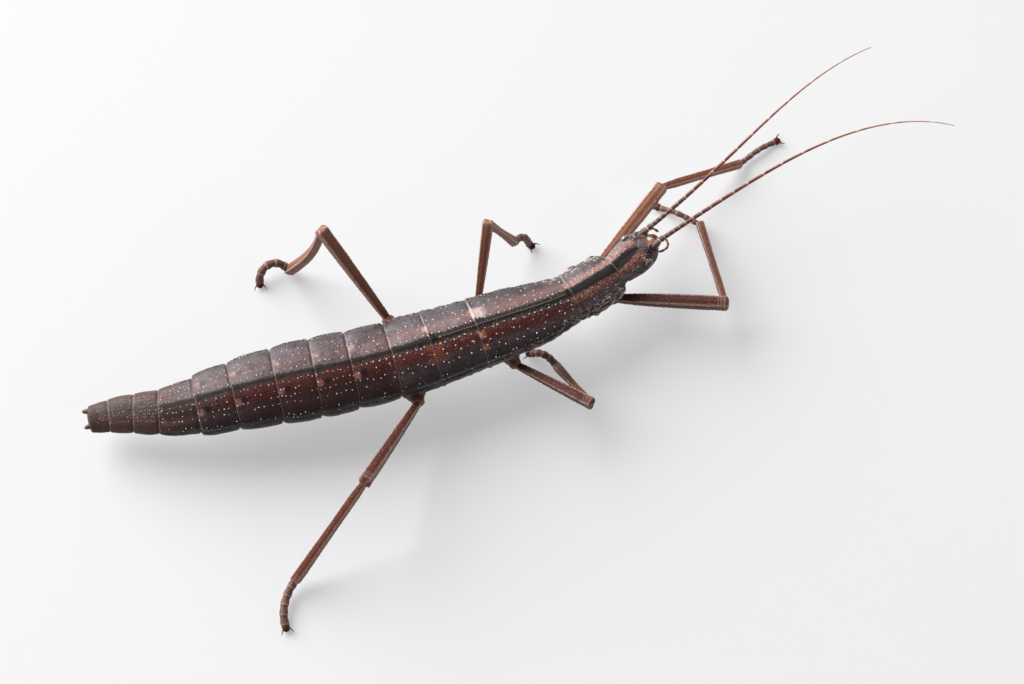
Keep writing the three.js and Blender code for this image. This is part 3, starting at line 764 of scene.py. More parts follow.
class Finish(Nodes):
    """A material built up from wires. Colours are laid over its base one after another."""

    def __init__(self, name):
        super().__init__(bpy.data.materials.new(name))
        self.place = self.node("ShaderNodeTexCoord", {}, {}, "Object")
        self.base = None

    def trait(self, name):
        """A value that the mesh carries at each of its points."""
        return self.node("ShaderNodeAttribute", {"attribute_name": name}, {}, "Fac")

    def step_up(self, value, low, high):
        sockets = {"Value": value, "From Min": low, "From Max": high}
        return self.node("ShaderNodeMapRange", {"interpolation_type": "SMOOTHSTEP"}, sockets)

    def near(self, value, centre, half, soft):
        """1 within half of a centre, fading out over a soft width."""
        return 1 - self.step_up(abs(value - centre), max(half - soft / 2, 0.0), half + soft / 2)

    def between(self, value, low, high, soft):
        return self.near(value, (low + high) / 2, (high - low) / 2, soft)

    def noise(self, size, detail=3.0, rough=0.55, stretch=(1, 1, 1), warp=0.0):
        """Noise from 0 to 1 whose lumps are about a size in millimetres across."""
        place = self.node("ShaderNodeMapping", {}, {"Vector": self.place, "Scale": stretch})
        sockets = {"Vector": place, "Scale": 1 / (size * MM), "Detail": detail,
                   "Roughness": rough, "Distortion": warp}
        return self.node("ShaderNodeTexNoise", {}, sockets)

    def cells(self, size):
        """The distance from the middle of the nearest of many small cells."""
        sockets = {"Vector": self.place, "Scale": 1 / (size * MM)}
        return self.node("ShaderNodeTexVoronoi", {"feature": "F1"}, sockets, "Distance")

    def mix(self, factor, a, b):
        """Colour a turning into colour b with the factor."""
        settings = {"data_type": "RGBA", "clamp_factor": True}
        return self.node("ShaderNodeMix", settings, {0: factor, 6: a, 7: b}, 2)

    def start(self, factor, a, b):
        self.base = self.mix(factor, a, b)

    def lay(self, factor, colour):
        self.base = self.mix(factor, self.base, colour)

    def wear(self, height=None, depth=0.0, **sockets):
        """Sets the shader's sockets, with a bump of a depth in millimetres. Returns the material."""
        sockets["base_color"] = self.base
        if height is not None:
            bump = {"Height": height, "Distance": depth * MM, "Strength": 1.0}
            sockets["normal"] = self.node("ShaderNodeBump", {}, bump)
        titles = {name: name.replace("_", " ").title().replace("Ior", "IOR") for name in sockets}
        shader = next(node for node in self.tree.nodes if node.type == "BSDF_PRINCIPLED")
        self.attach(shader, {titles[name]: value for name, value in sockets.items()})
        return self.owner


def colour(code):
    """A colour from its six-digit code, as the linear values that shaders take."""
    parts = [int(code[i:i + 2], 16) / 255 for i in (0, 2, 4)]
    return tuple(p / 12.92 if p <= 0.04045 else ((p + 0.055) / 1.055) ** 2.4 for p in parts)


# ------------------------------------------------------------------ settings


def shade(name, code, description):
    return bpy.props.FloatVectorProperty(
        name=name, description=description, subtype="COLOR", size=3, min=0.0, max=1.0, default=colour(code))


def number(name, description, default, low, high, **kind):
    return bpy.props.FloatProperty(
        name=name, description=description, default=default, min=low, max=high, **kind)


def fine_length(name, description, default, low, high):
    return number(name, description, default * MM, low * MM, high * MM, precision=5, unit="LENGTH")


class InsectColours(bpy.types.PropertyGroup):
    """The colours of the insect."""

    ground: shade("Ground", "4f3d3f", "The purplish brown of the back")
    # besides clouding the back, this colour is laid as painted shade on her right side of the abdomen
    shadow: shade("Shadow", "2c2022", "The darker brown that clouds it")
    # painted sheen: the pinkish grey laid on her left side, which faces the key light
    painted_sheen: shade("Mauve", "8b6a69", "The pinkish grey of her left side")
    bloom: shade("Bloom", "85767a", "The greyish bloom on the flanks and cheeks")
    stripe: shade("Stripe", "121414", "The black line along the middle of the back")
    moss: shade("Moss", "26261f", "The greenish charcoal that clouds the line")
    rust: shade("Rust", "7a4034", "The rusty bands beside the black line")
    maroon: shade("Maroon", "551f18", "The dark red bands of the back")
    orange: shade("Orange", "b36f45", "The orange in the bands and at the borders")
    pink: shade("Pink", "c39a90", "The pink specks and spots")
    salmon: shade("Salmon", "b3755f", "The small spots along the abdomen")
    cream: shade("Cream", "d2c0b4", "The pale patches and loops")
    granule: shade("Granules", "f6efe9", "The pale granules")
    seam: shade("Seam", "9a8783", "The thin pale lines between the lengths of the body")
    tail: shade("Tail", "52392f", "The browner end of the body")
    belly: shade("Belly", "4c3a35", "The underside")
    thigh: shade("Leg", "4e251d", "The furrows of the legs")
    shin: shade("Shin", "a05c41", "The tan of the shins")
    keel: shade("Leg keels", "8a6153", "The paler sides of the keels")
    tan: shade("Tan", "c2a48e", "The pale crests of the keels")
    foot: shade("Foot", "6d4b42", "The feet")
    lash: shade("Feeler", "7e4032", "The feelers near the head")
    lash_tip: shade("Feeler tip", "c0835f", "The ends of the feelers")
    ring: shade("Feeler rings", "dcb3a2", "The pale rings of the feelers")
    jaw: shade("Jaws", "a0602e", "The lip, jaws and palps")
    eye: shade("Eyes", "45463f", "The eyes")
    eye_rim: shade("Eye rims", "a5a396", "The pale ring round the middle of the eyes")
    claw: shade("Claws", "1c1311", "The claws")


class InsectSizes(bpy.types.PropertyGroup):
    """The sizes that set how fine the insect is made."""

    pitch: fine_length("Ring pitch", "Distance between the rings of the skin of the trunk", 0.1, 0.05, 0.5)
    sides: bpy.props.IntProperty(
        name="Ring points", description="Points in each ring of the skin", default=160, min=48, max=240)
    granule: fine_length("Granule radius", "Radius of the larger pale granules", 0.1, 0.04, 0.2)
    lash_tip: fine_length("Feeler tip", "Radius of a feeler at its tip", 0.045, 0.03, 0.25)


class StageSettings(bpy.types.PropertyGroup):
    """The floor, the lights and the camera."""

    floor: shade("Floor", "eeeeef", "The pale floor")
    glow: number("Floor glow", "Share of the floor's brightness that comes from under it", 0.46, 0, 1)
    key: number("Key light", "Power of the large soft light on her left", 34.0, 0, 1000, unit="POWER")
    sky: number("Surrounding light", "Strength of the light all round, which fades overhead", 0.45, 0, 10)
    tilt: number("Camera tilt", "Angle of the camera from straight overhead",
                 math.radians(20), 0, math.radians(85), subtype="ANGLE")
    swing: number("Camera swing", "Angle of the camera round the vertical",
                  math.radians(18), -math.pi, math.pi, subtype="ANGLE")
    distance: number("Camera distance", "From the camera to the insect", 0.42, 0.1, 2, unit="LENGTH")
    breadth: number("Breadth in view", "Breadth that the camera takes in at that distance",
                    0.114176, 0.02, 1, precision=4, unit="LENGTH")


# ------------------------------------------------------------------ finishes

# Where along the body each tone or coat comes in, from none of it to its whole share.
# the last fade on the next line brings in the maroon and painted shade on her right side of the abdomen
FADES = dict(browned=(7.0, 15.0), line=(7.0, 9.0), line_width=(33.0, 39.5), flush=(12.0, 22.0),
             # the first fade on the next line brings in the painted sheen on her left side
             plum=(28.0, 38.0), charcoal=(30.0, 38.0), crust=(36.0, 46.0), wax=(22.0, 42.0),
             beads=(9.0, 13.0), loops=(AT.metathorax, AT.prothorax), face=(AT.head - 0.1, AT.head + 0.4),
             prothorax=(AT.prothorax - 0.3, AT.prothorax + 0.3))


def body_finish(c):
    """The cuticle of the trunk and head, with its stripe, bands, spots and seams, painted sheen on her left
    side and painted shade on her right side of the abdomen.
    """
    f = Finish("body cuticle")
    lay, step, near, between = f.lay, f.step_up, f.near, f.between
    s, out, rise, behind = (f.trait(name) for name in ("along", "across", "rise", "behind"))
    fade = Sizes(**{name: step(s, *ends) for name, ends in FADES.items()})
    side, left = abs(out), step(out, -0.1, 0.1)
    right = 1 - left
    cloud, speck = f.noise(1.6, 4, 0.6), f.noise(0.5, 4, 0.65)
    grain, dust = f.noise(0.22, 3, 0.6), f.noise(0.13, 2, 0.5)
    patchy, crumb = step(speck, 0.38, 0.58), step(grain, 0.45, 0.6)
    wobble = (f.noise(0.7, 3) - 0.5) * 0.8 + (grain - 0.5) * 0.35
    edge, place, rear = side + wobble, s + wobble * 0.9, behind + wobble * 0.7

    def dusting(low, share):
        return step(dust, low, low + 0.1) * share

    def round_spot(across, ahead):
        return 1 - step(((edge - across) ** 2 + (rear - ahead) ** 2) ** 0.5, 0.15, 0.55)

    f.start(step(cloud, 0.35, 0.7), c.ground, c.shadow)
    lay(crumb * 0.3, c.bloom)
    # dark red bands along the back, broken by brown, and charcoal beyond them. On her left the red and its
    # rust dust are thinned, and mauve is laid over them as painted sheen.
    trunk = between(s, 14.0, AT.prothorax - 0.6, 5.0)
    red = near(edge, 1.3, 0.75, 0.9) * trunk
    lay(red * (0.45 + 0.55 * patchy) * (1 - left * (0.8 - 0.4 * fade.plum)), c.maroon)
    lay(red * dusting(0.5, 0.6 - 0.25 * left), c.rust)
    lay(red * left * fade.plum * (0.05 + 0.4 * cloud), c.painted_sheen)
    lay(step(edge, 2.1, 2.9) * trunk * fade.charcoal * 0.6, c.shadow)
    abdomen = between(s, 8.6, AT.median_segment - 0.5, 1.5)
    # her right side of the abdomen: maroon, partly its own colour and partly painted shade, and over it
    # painted shade in the shadow colour, deepest towards the edge
    lay(abdomen * right * fade.flush * (0.35 + 0.5 * patchy), c.maroon)
    lay(abdomen * right * (0.35 + 0.4 * step(edge, 1.9, 2.6)), c.shadow)
    # mottled rusty bands beside the stripe of the prothorax and the head
    rusty = near(edge, 0.98, 0.42, 0.5) * between(place, AT.prothorax - 0.6, AT.head + 3.7, 0.9)
    lay(rusty * (0.35 + 0.65 * patchy), c.rust)
    lay(rusty * step(f.cells(0.34), 0.42, 0.2) * 0.75, c.orange)
    lay(rusty * dusting(0.56, 0.8), c.pink)
    # painted sheen: mauve over the rusty band on her left side
    lay(rusty * left * (0.05 + 0.25 * cloud), c.painted_sheen)
    lay(rusty * step(grain, 0.42, 0.34) * 0.7, c.shadow)
    # the rear of the mesothorax: a cream patch touched with pink on her left, orange on her right
    start = AT.mesothorax
    patch = near(edge, 1.5, 0.75, 0.5) * between(place, start - 0.1, start + 1.4, 0.9) * left
    lay(patch * (0.3 + 0.4 * patchy), c.cream)
    lay(patch * step(cloud, 0.44, 0.6) * 0.6, c.pink)
    lay(patch * step(grain, 0.52, 0.42) * 0.6, c.bloom)
    lay(near(edge, 1.6, 1.0, 0.3) * near(s, start + 0.16, 0.1, 0.16) * left * speck * 0.7, c.cream)
    warm = near(edge, 1.2, 0.4, 0.35) * between(place, start, start + 0.8, 0.45)
    warm = warm + near(edge, 2.6, 0.25, 0.3) * between(place, start, start + 0.6, 0.4)
    lay(warm * right * (0.4 + 0.5 * patchy), c.orange)
    pale = near(edge, 1.25, 0.3, 0.3) * near(s, start + 0.2, 0.16, 0.2) * right
    lay(pale * (0.3 + 0.4 * speck), c.cream)
    # the rear of the metathorax: a pink spot on her left and a broad rusty patch on her right
    start = AT.metathorax
    spot = near(edge, 1.5, 0.35, 0.3) * between(place, start - 0.5, start + 0.2, 0.3) * left
    lay(spot * (0.5 + 0.4 * patchy), c.pink)
    patch = near(edge, 1.6, 1.0, 0.5) * between(place, start - 0.4, start + 1.2, 0.9) * right
    lay(patch * (0.3 + 0.5 * crumb), c.rust)
    lay(patch * dusting(0.52, 0.7), c.orange)
    # faint spots at the rear of each length of the abdomen, each with a black one ahead
    spot = round_spot(1.7, 0.42) * abdomen
    lay(spot * (0.15 + 0.5 * patchy), c.salmon)
    lay(spot * crumb * 0.2, c.cream)
    lay(round_spot(1.55, 1.2) * abdomen * 0.8, c.stripe)
    # the stripe: black on the head, greenish charcoal behind, widening at each rear border
    width = 0.5 - 0.02 * fade.prothorax + 0.12 * step(s, AT.head - 2.5, AT.head + 0.2)
    width = width + 0.3 * (1 - step(behind, 0.1, 1.6)) * (1 - fade.prothorax)
    width = width * (1 - 0.8 * step(s, AT.head + 1.6, AT.head + 4.0))
    width = width * (0.5 + 0.5 * fade.line_width) * fade.line
    ragged = side + wobble * (0.55 - 0.3 * fade.prothorax) + (dust - 0.5) * 0.3
    stripe = (1 - step(ragged - width, -0.12, 0.12)) * (1 - step(place, AT.head + 3.2, AT.head + 4.0))
    black = f.mix(step(speck, 0.3, 0.7) * (1 - 0.5 * fade.prothorax), c.stripe, c.moss)
    lay(stripe * (0.85 + 0.3 * (speck - 0.5)), black)
    # along its middle: a blotch, the pale ridge, an orange dot and the cross groove
    lay(near(s, AT.metathorax + 0.6, 0.3, 0.4) * (1 - step(edge, 0.35, 0.6)), c.claw)
    ridge = near(out, 0.0, 0.03, 0.05) * between(s, 40.4, AT.prothorax - 0.6, 0.4)
    lay(ridge * (0.25 + 0.6 * speck), c.seam)
    lay(near(out, 0.0, 0.1, 0.1) * near(s, AT.metathorax + 1.2, 0.16, 0.2) * 0.9, c.orange)
    lay(near(s, AT.prothorax - 0.3, 0.13, 0.15) * (1 - step(side, 0.35, 0.55)), c.claw)
    # the browner tail with its darker middle
    tail = 1 - fade.browned
    lay(tail * (0.55 + 0.4 * cloud), c.tail)
    lay(tail * (1 - step(edge, 0.5, 1.5)) * 0.55, c.shadow)
    lay(near(edge, 0.9, 0.3, 0.4) * near(rear, 0.3, 0.15, 0.3) * tail * patchy * 0.6, c.rust)
    # head: bloom on the cheeks, laid heavier on her left as painted sheen, dark marks behind the feelers,
    # and a mottled amber snout
    cheeks = fade.face * step(edge, 1.4, 1.9)
    lay(cheeks * (0.15 + 0.45 * speck) * (0.35 + 0.65 * left), c.bloom)
    streak = near(edge, 1.62, 0.07, 0.1) * fade.face * (1 - step(s, AT.head + 2.0, AT.head + 3.0))
    lay(streak * 0.6, c.seam)
    lay(near(side, 1.1, 0.3, 0.3) * near(s, AT.head + 4.0, 0.35, 0.4) * 0.9, c.claw)
    crown = (1 - step(edge, 0.5, 0.8)) * between(place, AT.head + 3.5, AT.head + 4.7, 0.5)
    lay(crown * (0.2 + 0.4 * patchy), c.bloom)
    lay(crown * dusting(0.55, 0.6), c.rust)
    snout = step(place, AT.head + 4.5, AT.head + 5.0) * (1 - step(side, 1.1, 1.5))
    lay(snout * (0.35 + 0.65 * patchy), c.jaw)
    lay(snout * dusting(0.54, 0.6), c.cream)
    lay((1 - step(side + wobble * 0.3, 0.16, 0.3)) * near(place, AT.head + 5.35, 0.28, 0.15), c.granule)
    # pale dust, thickest beside the stripe
    dusty = (0.25 + 0.5 * near(side, 0.75, 0.3, 0.5) * trunk) * (1 - 0.7 * stripe)
    lay(step(dust, 0.63, 0.72) * dusty, c.seam)
    # flanks under the beaded edge, which are creased and dusted and reach up round the prothorax
    lay(near(rise, 0.34, 0.07, 0.08) * (1 - fade.face) * fade.beads * 0.9, c.stripe)
    collar = between(s, AT.prothorax - 2.4, AT.head - 0.4, 0.8)
    under = 1 - step(rise - 0.36 * collar, 0.12, 0.28)
    clouded = step(f.noise(0.45, 4, 0.7, (0.5, 1, 1), 0.6), 0.42, 0.72)
    flank = f.mix(clouded * (0.5 + 0.3 * fade.crust), c.shadow, c.bloom)
    loops = near(f.noise(0.6, 2, 0.5, (0.7, 1, 1), 0.5), 0.5, 0.014, 0.035)
    loops = loops + near(f.noise(0.9, 2, 0.5, (0.8, 1, 1), 0.4), 0.5, 0.02, 0.04) * collar
    loops = loops * fade.loops
    lay(under * 0.85, f.mix(loops * 0.8, flank, c.cream))
    # the belly, and the thin pale lines at the borders
    low = 1 - step(rise, -0.75, -0.35)
    lay(low * 0.8, f.mix(step(speck, 0.3, 0.7), c.belly, c.ground))
    lay(between(behind, -0.03, 0.1, 0.08) * (1.1 * speck - 0.15) * (1 - low), c.seam)

    lines = f.noise(0.12, 3, 0.6, (2.6, 0.5, 0.6))
    height = 0.5 * f.noise(0.3, 5, 0.62) + 0.3 * lines + 0.25 * f.cells(0.16) + 0.3 * under * loops
    # a waxy coat, thinner on her right and on the tail, and missing from the stripe
    wax = (0.25 + 0.65 * left) * (0.3 + 0.7 * fade.wax) * (1 - 0.75 * tail)
    wax = wax * (1 - stripe) * (1 - 0.5 * under) * (1 - 0.35 * fade.face)
    return f.wear(height, 0.04, roughness=0.4 + 0.16 * grain + 0.3 * stripe,
                  specular_ior_level=0.22, coat_weight=wax, coat_roughness=0.36)


def leg_finish(c):
    """The legs: dark reddish furrows between thin pale keels, and tan shins, with painted light that makes
    the legs of her left side paler.
    """
    f = Finish("leg cuticle")
    keel, shin, behind, ahead = (f.trait(name) for name in ("keel", "rise", "behind", "ahead"))
    speck, cloud = f.noise(0.35, 4, 0.65), f.noise(1.4, 3)
    f.start(f.step_up(cloud, 0.4, 0.75) * 0.6, c.thigh, c.maroon)
    f.lay(f.step_up(speck, 0.55, 0.75) * 0.35, c.shadow)
    # painted light: the legs of her left side are laid paler and tanner, as if lit, less so on the shins
    painted_light = f.step_up(f.trait("across"), -0.5, 0.5)
    less = 1 - 0.5 * shin
    f.lay(shin * (0.08 + 0.22 * speck), c.shin)
    f.lay(painted_light * (0.35 + 0.5 * cloud) * less, c.shin)
    f.lay(painted_light * 0.25 * less, c.keel)
    f.lay(f.step_up(keel, 0.25, 0.6) * (0.2 + 0.35 * speck), c.keel)
    crest = f.step_up(keel, 0.55, 0.85) * f.step_up(f.noise(0.3, 3), 0.3, 0.5)
    f.lay(crest * (0.45 + 0.4 * painted_light), c.tan)
    joint = (1 - f.step_up(behind, 0.1, 0.7)) + (1 - f.step_up(ahead, 0.1, 0.8))
    f.lay(joint * (0.15 + 0.35 * speck), c.keel)
    rings = f.near(ahead, 0.1, 0.05, 0.1) + f.near(ahead, 0.55, 0.03, 0.06)
    f.lay((rings + f.near(ahead, 0.85, 0.03, 0.06)) * 0.25, c.cream)
    f.lay(f.step_up(f.noise(0.13, 2), 0.6, 0.7) * 0.55, c.tan)
    height = 0.8 * f.noise(0.2, 4, 0.6) + 0.2 * f.cells(0.14)
    return f.wear(height, 0.03, roughness=0.4 + 0.2 * speck, specular_ior_level=0.3)


def foot_finish(c):
    """The feet: brown, darker in the joints."""
    f = Finish("foot cuticle")
    joint, speck = f.trait("keel"), f.noise(0.3, 4, 0.65)
    f.start(f.step_up(speck, 0.35, 0.75) * 0.6, c.foot, c.maroon)
    f.lay((1 - f.step_up(joint, 0.0, 0.14)) * 0.5, c.claw)
    f.lay(f.near(joint, 0.85, 0.1, 0.15) * 0.4, c.tan)
    f.lay(f.step_up(f.noise(0.13, 2), 0.58, 0.68) * 0.5, c.keel)
    return f.wear(f.noise(0.12, 4), 0.03, roughness=0.5 + 0.2 * speck)


def granule_finish(name, base, other):
    """Small waxy granules, each a little different in tone."""
    f = Finish(name)
    tone = f.noise(0.8, 2)
    f.start(f.step_up(tone, 0.35, 0.65) * 0.6, base, other)
    return f.wear(roughness=0.45 + 0.1 * tone)


def feeler_finish(c):
    """The feelers: dark at the root, then red-brown and tan, with a pale ring at each joint."""
    f = Finish("feeler cuticle")
    t, joint, speck = f.trait("along"), f.trait("keel"), f.noise(0.3, 3)
    f.start(f.step_up(t, -0.03, 0.3), c.ground, c.lash)
    f.lay(f.step_up(t, 0.3, 0.95), c.lash_tip)
    f.lay(f.step_up(speck, 0.4, 0.75) * 0.3, c.shadow)
    f.lay(f.near(joint, 0.16, 0.1, 0.12) * 0.35, c.maroon)
    f.lay(f.near(joint, 0.75, 0.16, 0.2) * 0.3, c.salmon)
    f.lay(f.step_up(joint, 0.86, 0.93) * 0.8, c.ring)
    return f.wear(f.noise(0.1, 3), 0.015, roughness=0.42 + 0.15 * speck)


def eye_finish(c):
    """The eyes: olive grey, darker in the middle, glossy, in fine facets."""
    f = Finish("eye facets")
    bend, mottle = f.trait("along"), f.noise(0.25, 3, 0.6)
    f.start(f.step_up(mottle, 0.4, 0.65) * 0.5, c.eye, c.shadow)
    f.lay(f.step_up(bend, 30.0, 58.0) * 0.85, c.claw)
    f.lay(f.near(bend, 14.0, 10.0, 12.0) * 0.6, c.eye_rim)
    return f.wear(1 - f.cells(0.045), 0.008, roughness=0.16 + 0.1 * mottle,
                  coat_weight=0.6, coat_roughness=0.08)


def jaw_finish(c):
    """The lip, jaws and palps: amber, browner at their edges."""
    f = Finish("jaw amber")
    joint, speck = f.trait("keel"), f.noise(0.3, 4)
    f.start(f.step_up(speck, 0.35, 0.7), c.jaw, c.maroon)
    f.lay((1 - f.step_up(joint, 0.0, 0.16)) * 0.4, c.shadow)
    return f.wear(f.noise(0.12, 4), 0.02, roughness=0.34 + 0.15 * speck)


def claw_finish(c):
    """The claws: dark and polished, browner at the root."""
    f = Finish("claw horn")
    f.start(f.step_up(f.trait("along"), 0.05, 0.5), c.maroon, c.claw)
    return f.wear(roughness=0.4 + 0.15 * f.noise(0.2, 2), specular_ior_level=0.3)


def tail_finish(c):
    """The cerci and the plate under the tail."""
    f = Finish("tail cuticle")
    speck = f.noise(0.3, 4)
    f.start(f.step_up(speck, 0.3, 0.7), c.tail, c.shadow)
    f.lay(f.trait("keel") * 0.7, c.rust)
    height = 0.6 * f.noise(0.2, 4) + 0.4 * f.cells(0.15)
    return f.wear(height, 0.035, roughness=0.42 + 0.15 * speck)


# ------------------------------------------------------------------ pieces


class MakeSkin(bpy.types.Operator):
    """The one skin of the trunk, head, hips, legs and feet"""

    bl_idname = "insect.skin"
    bl_label = "Skin"

    def execute(self, context):
        colours, sizes = context.scene.insect_colours, context.scene.insect_sizes
        tail_end, face_end = GAP / 2 + END_ROUND, BODY_LENGTH - FACE_ROUND
        pitch = sizes.pitch / MM
        close = 1 - np.cos(np.linspace(0, math.pi / 2, 10)[1:-1])
        trunk, head = np.arange(tail_end, AT.head, pitch), np.arange(AT.head, face_end, 0.6 * pitch)
        ends = GAP / 2 + END_ROUND * close, (BODY_LENGTH - FACE_ROUND * close)[::-1]
        places = np.concatenate([ends[0], trunk, head, ends[1]])[:, None]
        even = circle(sizes.sides)
        turns = even + 0.35 * np.cos(even)  # closer together towards the back and the belly
        points, out, up = skin_at(places, turns)
        index = np.clip(np.searchsorted(STARTS, places, side="right") - 1, 0, len(LENGTHS) - 1)
        shell = Shell()
        shell.loft(points, 0, along=places, across=out, rise=np.sin(turns),
                   behind=places - STARTS[index], ahead=STARTS[index + 1] - places)
        nodes = [row.name for row in LENGTHS]
        for hold in STANCE:
            coxa(shell, hold)
            for part in limbs(hold):
                limb(shell, part, SIDES[hold.side])
            foot(shell, hold)
            nodes += [f"{part}_{hold.leg}_{hold.side}" for part in ("coxa", "femur", "tibia", "tarsus")]
        finishes = [body_finish(colours), leg_finish(colours), foot_finish(colours)]
        shell.make("skin", finishes, nodes)
        return {"FINISHED"}


class MakeGranules(bpy.types.Operator):
    """The pale and rusty granules of the back, the flanks and the legs"""

    bl_idname = "insect.granules"
    bl_label = "Granules"

    def execute(self, context):
        c, radius = context.scene.insect_colours, context.scene.insect_sizes.granule / MM
        rng = np.random.default_rng(5)
        pale, rusty, dark = [], [], []

        def sow(bed, s, turn, small, large):
            bed.append(np.stack([s, turn, radius * rng.uniform(small, large, len(s))], -1))

        def scatter(bed, low, high, count, inner, outer, small, large):
            """Granules at random along the body, out to both sides between two distances."""
            side = rng.choice([-1, 1], count)
            s = rng.uniform(low, high, count)
            sow(bed, s, turn_at(s, rng.uniform(inner, outer, count) * side), small, large)

        def strewn(low, high, step, stray, kept, more=0.0):
            """A row of places, each a little astray, with a share of them kept."""
            s = np.arange(low, high, step)
            s = s + rng.normal(0, stray, len(s))
            return s[rng.random(len(s)) < kept + more * s]

        # rows on the thorax, the closest of them beside the stripe
        for row, step, stray in ((0.66, 0.75, 0.07), (1.35, 1.8, 0.2), (2.05, 1.6, 0.25), (2.7, 1.1, 0.15)):
            for side in (1, -1):
                s = np.arange(31.5, AT.prothorax - 0.4, step) + rng.uniform(0, step)
                s = s + rng.normal(0, 0.22 * step, len(s))
                sow(pale, s, turn_at(s, side * (row + rng.normal(0, stray, len(s)))), 0.6, 0.95)
        # dust over the thorax, thickest beside the stripe
        scatter(pale, 31.0, 55.2, 160, 0.35, 3.6, 0.2, 0.36)
        s = rng.uniform(31.0, 55.2, 300)
        out = rng.normal(0, 0.22, len(s)) + 0.6 * rng.choice([-1, 1], len(s))
        sow(pale, s, turn_at(s, out), 0.16, 0.28)
        # rows along the abdomen, then finer ones on the tail, fewer towards its end
        rows = [(8.5, 31.5, 0.55, 0.1, kept, 0.0, row, 0.015, 0.4, 0.75)
                for row, kept in ((0.16, 0.8), (0.34, 0.5), (0.52, 0.75), (0.7, 0.5))]
        rows += [(1.2, 8.6, 0.26, 0.07, 0.2, 0.07, row, 0.02, 0.24, 0.42) for row in (0.1, 0.26, 0.42, 0.6)]
        for *measures, row, wander, small, large in rows:
            for side in (1, -1):
                s = strewn(*measures)
                out = side * half_at(s) * (row + rng.normal(0, wander, len(s)))
                sow(pale, s, turn_at(s, out), small, large)
        # the head and the prothorax
        scatter(pale, 55.8, 66.0, 75, 0.6, 1.9, 0.35, 0.7)
        scatter(rusty, 55.4, 65.4, 330, 0.6, 1.45, 0.22, 0.45)
        scatter(pale, 55.4, 65.4, 260, 0.55, 1.5, 0.15, 0.3)
        # the beaded edges of the back, dark with pale ones between
        for bed, slope, share, large in ((dark, 20, 0.9, 1.1), (pale, 23, 0.3, 0.75), (pale, 15, 0.35, 0.7)):
            for side in (1, -1):
                s = strewn(9.0, 60.5, 0.36, 0.08, share)
                turn = np.radians(slope + rng.normal(0, 1.5, len(s)))
                sow(bed, s, turn if side > 0 else math.pi - turn, 0.4, large)

        shell = Shell()
        for i, bed in enumerate((pale, rusty, dark)):
            s, turn, sizes = np.concatenate(bed).T
            points, normals = skin_and_normal(s, turn)
            domes(shell, points, normals, sizes, 0.8 * sizes, i)
        # rows on the keels of the legs
        for part in (part for hold in STANCE for part in limbs(hold)):
            length = float(np.linalg.norm(part.end - part.start))
            count = int(length / 0.3)
            for keel in range(4):
                t = np.linspace(0.06, 0.95, count) + rng.normal(0, 0.008, count)
                t = t[rng.random(count) < 0.5]
                turn = (keel + 0.5) * math.pi / 2 + rng.normal(0, 0.1, len(t))
                reach = limb_reach(rounded(part.radii, t), t, length, turn)
                middle = limb_line(part.start, part.end, t[:, None], part.sag)
                way = unit(part.end - part.start)
                centres = rings_across(middle, way, turn[:, None], reach[:, None])[:, 0]
                domes(shell, centres, unit(centres - middle),
                      rng.uniform(0.03, 0.06, len(t)), rng.uniform(0.02, 0.04, len(t)), 3, 6)
        finishes = [granule_finish(f"granule {name}", *tones) for name, tones in (
            ("cream", (c.granule, c.cream)), ("rust", (c.orange, c.pink)),
            ("dark", (c.shadow, c.stripe)), ("tan", (c.tan, c.cream)))]
        shell.make("granules", finishes, ())
        return {"FINISHED"}


def feeler_path(side, hold):
    """The root of a feeler, its first two joints and the path of its lash."""
    root = on_head(SCAPE.forward, side * SCAPE.out, SCAPE.up)
    elbow = root + pointing(HEAD.heading + side * SCAPE.turn, SCAPE.lift) * SCAPE.length
    start = elbow + pointing(hold.heading, hold.lift) * (PEDICEL.length + 0.5 * GAP)
    t = np.arange(LASH.steps) / LASH.steps
    ways = pointing(hold.heading + hold.bend * t + hold.curl * t**3, hold.lift)
    return root, elbow, start, np.vstack([start, start + np.cumsum(ways * hold.length / LASH.steps, axis=0)])


class MakeFeelers(bpy.types.Operator):
    """The two feelers, from their thick first joints to their fine tips"""

    bl_idname = "insect.feelers"
    bl_label = "Feelers"

    def execute(self, context):
        finish = feeler_finish(context.scene.insect_colours)
        tip = context.scene.insect_sizes.lash_tip / MM
        turns = circle(20)
        for name, side in SIDES.items():
            root, elbow, start, knots = feeler_path(side, FEELERS[name])
            shell = Shell()
            # the scape, the pedicel, and the short collars between them
            for a, b, thick, lean in ((root, elbow, SCAPE.radius, (0.7, 1, 1, 0.95, 0.75)),
                                      (elbow, start, PEDICEL.radius, (0.75, 1, 1, 0.95, 0.8))):
                t = np.linspace(0, 1, 26)[:, None]
                reach = rounded(np.array(lean) * thick, t) * (1 + 0.05 * np.cos(3 * turns))
                rings = rings_across(a + t * (b - a), unit(b - a), turns, reach)
                shell.loft(rings, 0, along=-0.05, keel=t)
            path = flowing(knots, 24)
            t = np.linspace(0, 1, len(path))[:, None]
            # each joint is longer than the one before it by the same share
            grown = 1 + LASH.growth / LASH.first * t * FEELERS[name].length
            joint = (np.log(grown) / LASH.growth) % 1
            joint[-1] = 0.5
            radius = tip + (LASH.base - tip) * (1 - t) ** 1.15
            radius = radius * (1 + 0.08 * step_up(joint, 0.5, 0.9) - 0.16 * bell(joint, 0.06))
            rings = rings_across(path, headed(path), turns, radius)
            end = path[-1] + (rings[-1:] - path[-1]) * 0.4 + headed(path)[-1] * tip * 0.8
            shell.loft(np.concatenate([rings, end]), 0, along=np.append(t, 1.0)[:, None],
                       keel=np.append(joint, 0.5)[:, None])
            shell.make(f"feeler_{name}", [finish], (f"antenna_base_{name}", f"antenna_{name}"))
        return {"FINISHED"}


